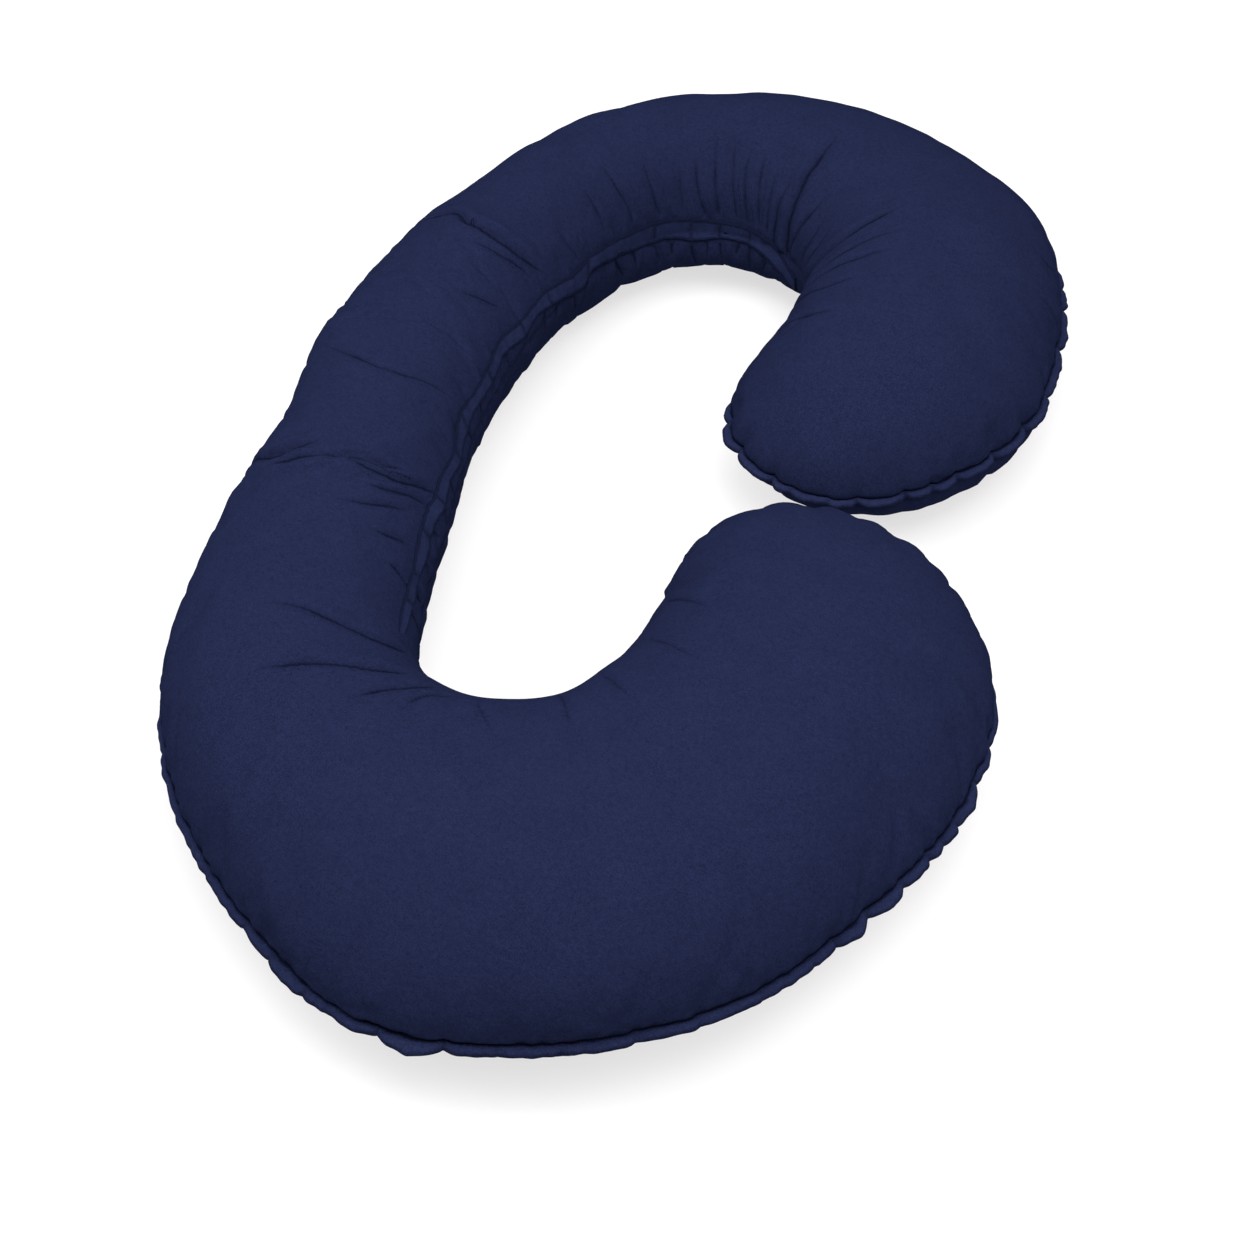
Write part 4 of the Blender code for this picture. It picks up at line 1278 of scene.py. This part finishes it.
@dataclass
class Stitching:
    """A line of short machine stitches, laid by Geometry Nodes along a curve."""

    name: str
    lines: Sequence[np.ndarray]
    pitch: float = 0.0034
    length: float = 0.0024
    radius: float = 0.00032

    def tree(self, material: bpy.types.Material) -> bpy.types.NodeTree:
        """Return the node tree that lays a stitch at each step of the curve."""
        tree = bpy.data.node_groups.new(self.name + "_tree", "GeometryNodeTree")
        tree.interface.new_socket("Line", in_out="INPUT", socket_type="NodeSocketGeometry")
        for label in ("Pitch", "Length", "Radius"):
            tree.interface.new_socket(label, in_out="INPUT", socket_type="NodeSocketFloat")
        tree.interface.new_socket("Stitches", in_out="OUTPUT", socket_type="NodeSocketGeometry")
        given = tree.nodes.new("NodeGroupInput")
        result = tree.nodes.new("NodeGroupOutput")
        points = tree.nodes.new("GeometryNodeCurveToPoints")
        points.mode = "LENGTH"
        stitch = tree.nodes.new("GeometryNodeMeshCylinder")
        stitch.inputs["Vertices"].default_value = 5
        instances = tree.nodes.new("GeometryNodeInstanceOnPoints")
        realize = tree.nodes.new("GeometryNodeRealizeInstances")
        paint = tree.nodes.new("GeometryNodeSetMaterial")
        paint.inputs["Material"].default_value = material
        link = tree.links.new
        link(given.outputs["Line"], points.inputs["Curve"])
        link(given.outputs["Pitch"], points.inputs["Length"])
        link(given.outputs["Radius"], stitch.inputs["Radius"])
        link(given.outputs["Length"], stitch.inputs["Depth"])
        link(points.outputs["Points"], instances.inputs["Points"])
        link(points.outputs["Rotation"], instances.inputs["Rotation"])
        link(stitch.outputs["Mesh"], instances.inputs["Instance"])
        link(instances.outputs["Instances"], realize.inputs["Geometry"])
        link(realize.outputs["Geometry"], paint.inputs["Geometry"])
        link(paint.outputs["Geometry"], result.inputs["Stitches"])
        return tree

    def build(self, material: bpy.types.Material) -> bpy.types.Object:
        """Build the stitches as one plain mesh.

        Args:
            material: the thread's finish.

        Returns:
            The stitches' object.
        """
        curve = bpy.data.curves.new(self.name + "_line", "CURVE")
        curve.dimensions = "3D"
        for line in self.lines:
            spline = curve.splines.new("POLY")
            spline.points.add(len(line) - 1)
            spline.points.foreach_set("co", np.column_stack([line, np.ones(len(line))]).astype(np.float32).ravel())
        holder = bpy.data.objects.new(self.name + "_holder", curve)
        bpy.context.scene.collection.objects.link(holder)
        modifier = holder.modifiers.new("stitches", "NODES")
        tree = self.tree(material)
        modifier.node_group = tree
        sizes = {"Pitch": self.pitch, "Length": self.length, "Radius": self.radius}
        for item in tree.interface.items_tree:
            if item.name in sizes:
                modifier[item.identifier] = sizes[item.name]
        depsgraph = bpy.context.evaluated_depsgraph_get()
        mesh = bpy.data.meshes.new_from_object(holder.evaluated_get(depsgraph), depsgraph=depsgraph)
        mesh.name = self.name
        bpy.data.objects.remove(holder, do_unlink=True)
        bpy.data.curves.remove(curve)
        bpy.data.node_groups.remove(tree)
        mesh.shade_smooth()
        piece = bpy.data.objects.new(self.name, mesh)
        bpy.context.scene.collection.objects.link(piece)
        return piece


class Wire:
    """A shader socket that adds Math nodes when it is used in an expression."""

    def __init__(self, board: "NodeBoard", socket: bpy.types.NodeSocket) -> None:
        """Wrap an output socket of a board."""
        self.board = board
        self.socket = socket

    def math(self, operation: str, *others: Any) -> "Wire":
        """Return a Math node's result with this socket as its first value."""
        return self.board.node("ShaderNodeMath", {"operation": operation}, {0: self, **dict(enumerate(others, 1))})

    def __add__(self, other: Any) -> "Wire":
        """Return the sum."""
        return self.math("ADD", other)

    __radd__ = __add__

    def __sub__(self, other: Any) -> "Wire":
        """Return the difference."""
        return self.math("SUBTRACT", other)

    def __rsub__(self, other: Any) -> "Wire":
        """Return the difference from a number."""
        return self.math("MULTIPLY", -1.0) + other

    def __mul__(self, other: Any) -> "Wire":
        """Return the product."""
        return self.math("MULTIPLY", other)

    __rmul__ = __mul__

    def __truediv__(self, other: Any) -> "Wire":
        """Return the quotient."""
        return self.math("DIVIDE", other)


class NodeBoard:
    """A material's node tree, and the one method that adds a node to it."""

    def __init__(self, name: str) -> None:
        """Start a material with its Principled shader."""
        self.material = bpy.data.materials.new(name)
        self.material.use_nodes = True
        self.tree = self.material.node_tree
        self.shader = self.tree.nodes["Principled BSDF"]

    def node(self, kind: str, settings: dict[str, Any] | None = None, sockets: dict[Any, Any] | None = None,
             output: Any = 0) -> Wire:
        """Add a node.

        Args:
            kind: the node's type.
            settings: its own settings, which are set first.
            sockets: values or wires of its input sockets.
            output: the output socket that is returned.

        Returns:
            The wire of that output.
        """
        node = self.tree.nodes.new(kind)
        for key, value in (settings or {}).items():
            setattr(node, key, value)
        for key, value in (sockets or {}).items():
            self.feed(node.inputs[key], value)
        return Wire(self, node.outputs[output])

    def feed(self, socket: bpy.types.NodeSocket, value: Any) -> None:
        """Link a wire to a socket, or set its value."""
        if isinstance(value, Wire):
            self.tree.links.new(value.socket, socket)
        else:
            socket.default_value = value


@dataclass(frozen=True)
class JerseyFinish:
    """Soft knitted cotton: fine ribs, fuzz, a faint mottle, and painted shade in folds, grooves and crease lines."""

    name: str
    colour: tuple[float, float, float]
    rib_pitch: float = 0.0012
    grain: float = 820.0
    mottle: float = 0.09
    slub: float = 0.22
    speckle: float = 0.60
    # painted shade: how much the stored shade and the crease lines darken the colour
    painted_shade_strength: float = 0.85
    line_width: float = 0.0011
    line_shade: float = 0.40
    line_depth: float = 0.0009
    roughness: float = 0.88
    specular: float = 0.0
    bump: float = 0.00022
    darkest: float = 0.45
    palest: float = 1.55
    cloud_scale: float = 34.0
    slub_scale: float = 240.0

    def shade(self, factor: float) -> tuple[float, float, float, float]:
        """Return the colour made lighter or darker."""
        return (self.colour[0] * factor, self.colour[1] * factor, self.colour[2] * factor, 1.0)

    def build(self) -> bpy.types.Material:
        """Build the material.

        Returns:
            The finished material.
        """
        board = NodeBoard(self.name)
        place = board.node("ShaderNodeTexCoord", output="Object")
        cloth = board.node("ShaderNodeUVMap", {"uv_map": "cloth"})
        split = board.node("ShaderNodeSeparateXYZ", sockets={0: cloth})
        across = Wire(board, split.socket.node.outputs["Y"])
        cloud = board.node("ShaderNodeTexNoise", sockets={"Vector": place, "Scale": self.cloud_scale, "Detail": 3.0})
        grain = board.node("ShaderNodeTexNoise", sockets={"Vector": place, "Scale": self.grain, "Detail": 2.0})
        slub = board.node("ShaderNodeTexNoise", sockets={"Vector": place, "Scale": self.slub_scale, "Detail": 2.0})
        wale = (split * (TAU / self.rib_pitch)).math("SINE")
        course = (across * (TAU / (self.rib_pitch * 0.8)) + wale * 0.6).math("SINE")
        knit = wale * 0.5 + course * 0.35
        tone = (cloud - 0.5) * self.mottle * 2.0 + (slub - 0.5) * self.slub * 2.0 + knit * 0.035 + 0.5
        # painted shade read from the piece, and a painted dark line along each crease
        painted_shade = board.node("ShaderNodeAttribute", {"attribute_name": "painted_shade"}, output="Fac")
        gap = board.node("ShaderNodeAttribute", {"attribute_name": "gap"}, output="Fac") / self.line_width
        crease = board.node("ShaderNodeAttribute", {"attribute_name": "crease"}, output="Fac")
        line = (gap * gap * -1.0).math("EXPONENT") * crease
        tone = tone + (grain - 0.5) * self.speckle * 2.0 - painted_shade * self.painted_shade_strength - line * self.line_shade
        base = board.node(
            "ShaderNodeMix", {"data_type": "RGBA", "clamp_factor": True},
            {0: tone, 6: self.shade(self.darkest), 7: self.shade(self.palest)}, 2,
        )
        height = knit * 0.4 + grain * 1.3 + cloud * 0.5
        bump = board.node("ShaderNodeBump", sockets={"Strength": 0.85, "Distance": self.bump, "Height": height})
        board.feed(board.shader.inputs["Base Color"], base)
        board.feed(board.shader.inputs["Roughness"], (grain - 0.5) * 0.12 + self.roughness)
        pressed = board.node("ShaderNodeBump", sockets={
            "Strength": 1.0, "Distance": self.line_depth, "Height": line * -1.0, "Normal": bump})
        board.feed(board.shader.inputs["Normal"], pressed)
        board.feed(board.shader.inputs["Specular IOR Level"], self.specular)
        return board.material


@dataclass
class Studio:
    """The pale floor, the soft light and the camera at the pictured angle."""

    azimuth: float = 16.0
    elevation: float = 43.5
    distance: float = 1.92
    focal_pixels: float = 2077.0
    image_pixels: float = 1254.0
    sensor: float = 36.0
    aim: tuple[float, float, float] = (0.4415, -0.2370, 0.095)
    floor_size: float = 14.0
    floor_glow: float = 0.68
    dome: float = 0.50
    overhead: float = 128.0
    key: float = 47.0
    fill: float = 58.0
    overhead_place: tuple[float, float, float] = (0.3, -0.2, 3.0)
    key_place: tuple[float, float, float] = (1.3, -1.1, 2.4)
    fill_place: tuple[float, float, float] = (-2.0, -0.5, 1.9)
    overhead_size: float = 3.0
    side_size: float = 2.0

    def floor(self) -> bpy.types.Object:
        """Lay the floor."""
        half = self.floor_size / 2.0
        corners = [(-half, -half, 0.0), (half, -half, 0.0), (half, half, 0.0), (-half, half, 0.0)]
        floor = make_mesh_object("studio_floor", np.array(corners), [[0, 1, 2, 3]])
        board = NodeBoard("floor_paint")
        board.feed(board.shader.inputs["Base Color"], (0.25, 0.247, 0.247, 1.0))
        board.feed(board.shader.inputs["Emission Color"], (1.0, 0.985, 0.99, 1.0))
        board.feed(board.shader.inputs["Emission Strength"], self.floor_glow)
        board.feed(board.shader.inputs["Roughness"], 0.9)
        board.feed(board.shader.inputs["Specular IOR Level"], 0.1)
        floor.data.materials.append(board.material)
        return floor

    def softbox(self, name: str, place: tuple[float, float, float], size: float, power: float) -> None:
        """Hang a square soft light that faces the pillow.

        Args:
            name: the light's name.
            place: where it hangs.
            size: its side.
            power: its power in watts.
        """
        light = bpy.data.lights.new(name, "AREA")
        light.shape = "SQUARE"
        light.size = size
        light.energy = power
        lamp = bpy.data.objects.new(name, light)
        lamp.location = place
        lamp.rotation_euler = Vector(place).to_track_quat("Z", "Y").to_euler()
        bpy.context.scene.collection.objects.link(lamp)

    def build(self, centre: np.ndarray) -> None:
        """Set up the studio.

        Args:
            centre: the middle of the outline in the section table's coordinates.
        """
        scene = bpy.context.scene
        world = bpy.data.worlds.new("studio_dome")
        world.use_nodes = True
        world.node_tree.nodes["Background"].inputs["Color"].default_value = (1.0, 1.0, 1.0, 1.0)
        world.node_tree.nodes["Background"].inputs["Strength"].default_value = self.dome
        scene.world = world
        scene.view_settings.view_transform = "Standard"
        self.floor()
        self.softbox("overhead_softbox", self.overhead_place, self.overhead_size, self.overhead)
        self.softbox("key_softbox", self.key_place, self.side_size, self.key)
        self.softbox("fill_softbox", self.fill_place, self.side_size, self.fill)
        turn, rise = math.radians(self.azimuth), math.radians(self.elevation)
        back = Vector((math.sin(turn) * math.cos(rise), -math.cos(turn) * math.cos(rise), math.sin(rise)))
        aim = Vector(self.aim) - Vector((centre[0], centre[1], 0.0))
        data = bpy.data.cameras.new("pictured_view")
        data.sensor_width = self.sensor
        data.lens = self.sensor * self.focal_pixels / self.image_pixels
        camera = bpy.data.objects.new("pictured_view", data)
        camera.location = aim + back * self.distance
        camera.rotation_euler = back.to_track_quat("Z", "Y").to_euler()
        scene.collection.objects.link(camera)
        scene.camera = camera


def report_piece(piece: bpy.types.Object) -> None:
    """Log a piece's name and size."""
    LOG.info("%s: %d vertices, %d faces", piece.name, len(piece.data.vertices), len(piece.data.polygons))


def main() -> None:
    """Build the pillow's pieces, dress them and set up the studio."""
    logging.basicConfig(level=logging.INFO, format="%(name)s: %(message)s")
    centre = SeamForm(section_steps=7, lobe_steps=18).plan_centre()
    form = SeamForm(centre=centre)
    body = PillowBody(form)
    flange = SeamFlange(body)
    placket = ZipPlacket(body)
    body_cloth = JerseyFinish("navy_jersey", (0.0083, 0.0111, 0.0322)).build()
    # painted light: the ribbon and the band get lighter copies of the body's navy, though they are the same jersey
    flange_cloth = JerseyFinish("navy_jersey_lit_flange_copy", (0.0105, 0.0140, 0.0392)).build()
    placket_cloth = JerseyFinish("navy_jersey_lit_placket_copy", (0.0108, 0.0148, 0.0415)).build()
    thread = JerseyFinish("navy_thread", (0.0080, 0.0115, 0.0350), rib_pitch=0.0006).build()
    dressed = (
        (body.build(), body_cloth, "pillow_body", "jersey_body"),
        (flange.build(), flange_cloth, "seam_flange", "jersey_flange"),
        (placket.build(), placket_cloth, "zip_placket", "jersey_placket"),
    )
    for piece, cloth, node, slot in dressed:
        piece.data.materials.append(cloth)
        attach(piece, "root")
        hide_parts(node)
        report_piece(piece)
    sewn = (
        (Stitching("flange_stitches", [flange.stitch_line()]), "jersey_flange"),
        (Stitching("placket_stitches", placket.stitch_lines()), "jersey_placket"),
    )
    for stitching, slot in sewn:
        piece = stitching.build(thread)
        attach(piece, "root")
        report_piece(piece)
    Studio().build(centre)


if __name__ == "__main__":
    main()
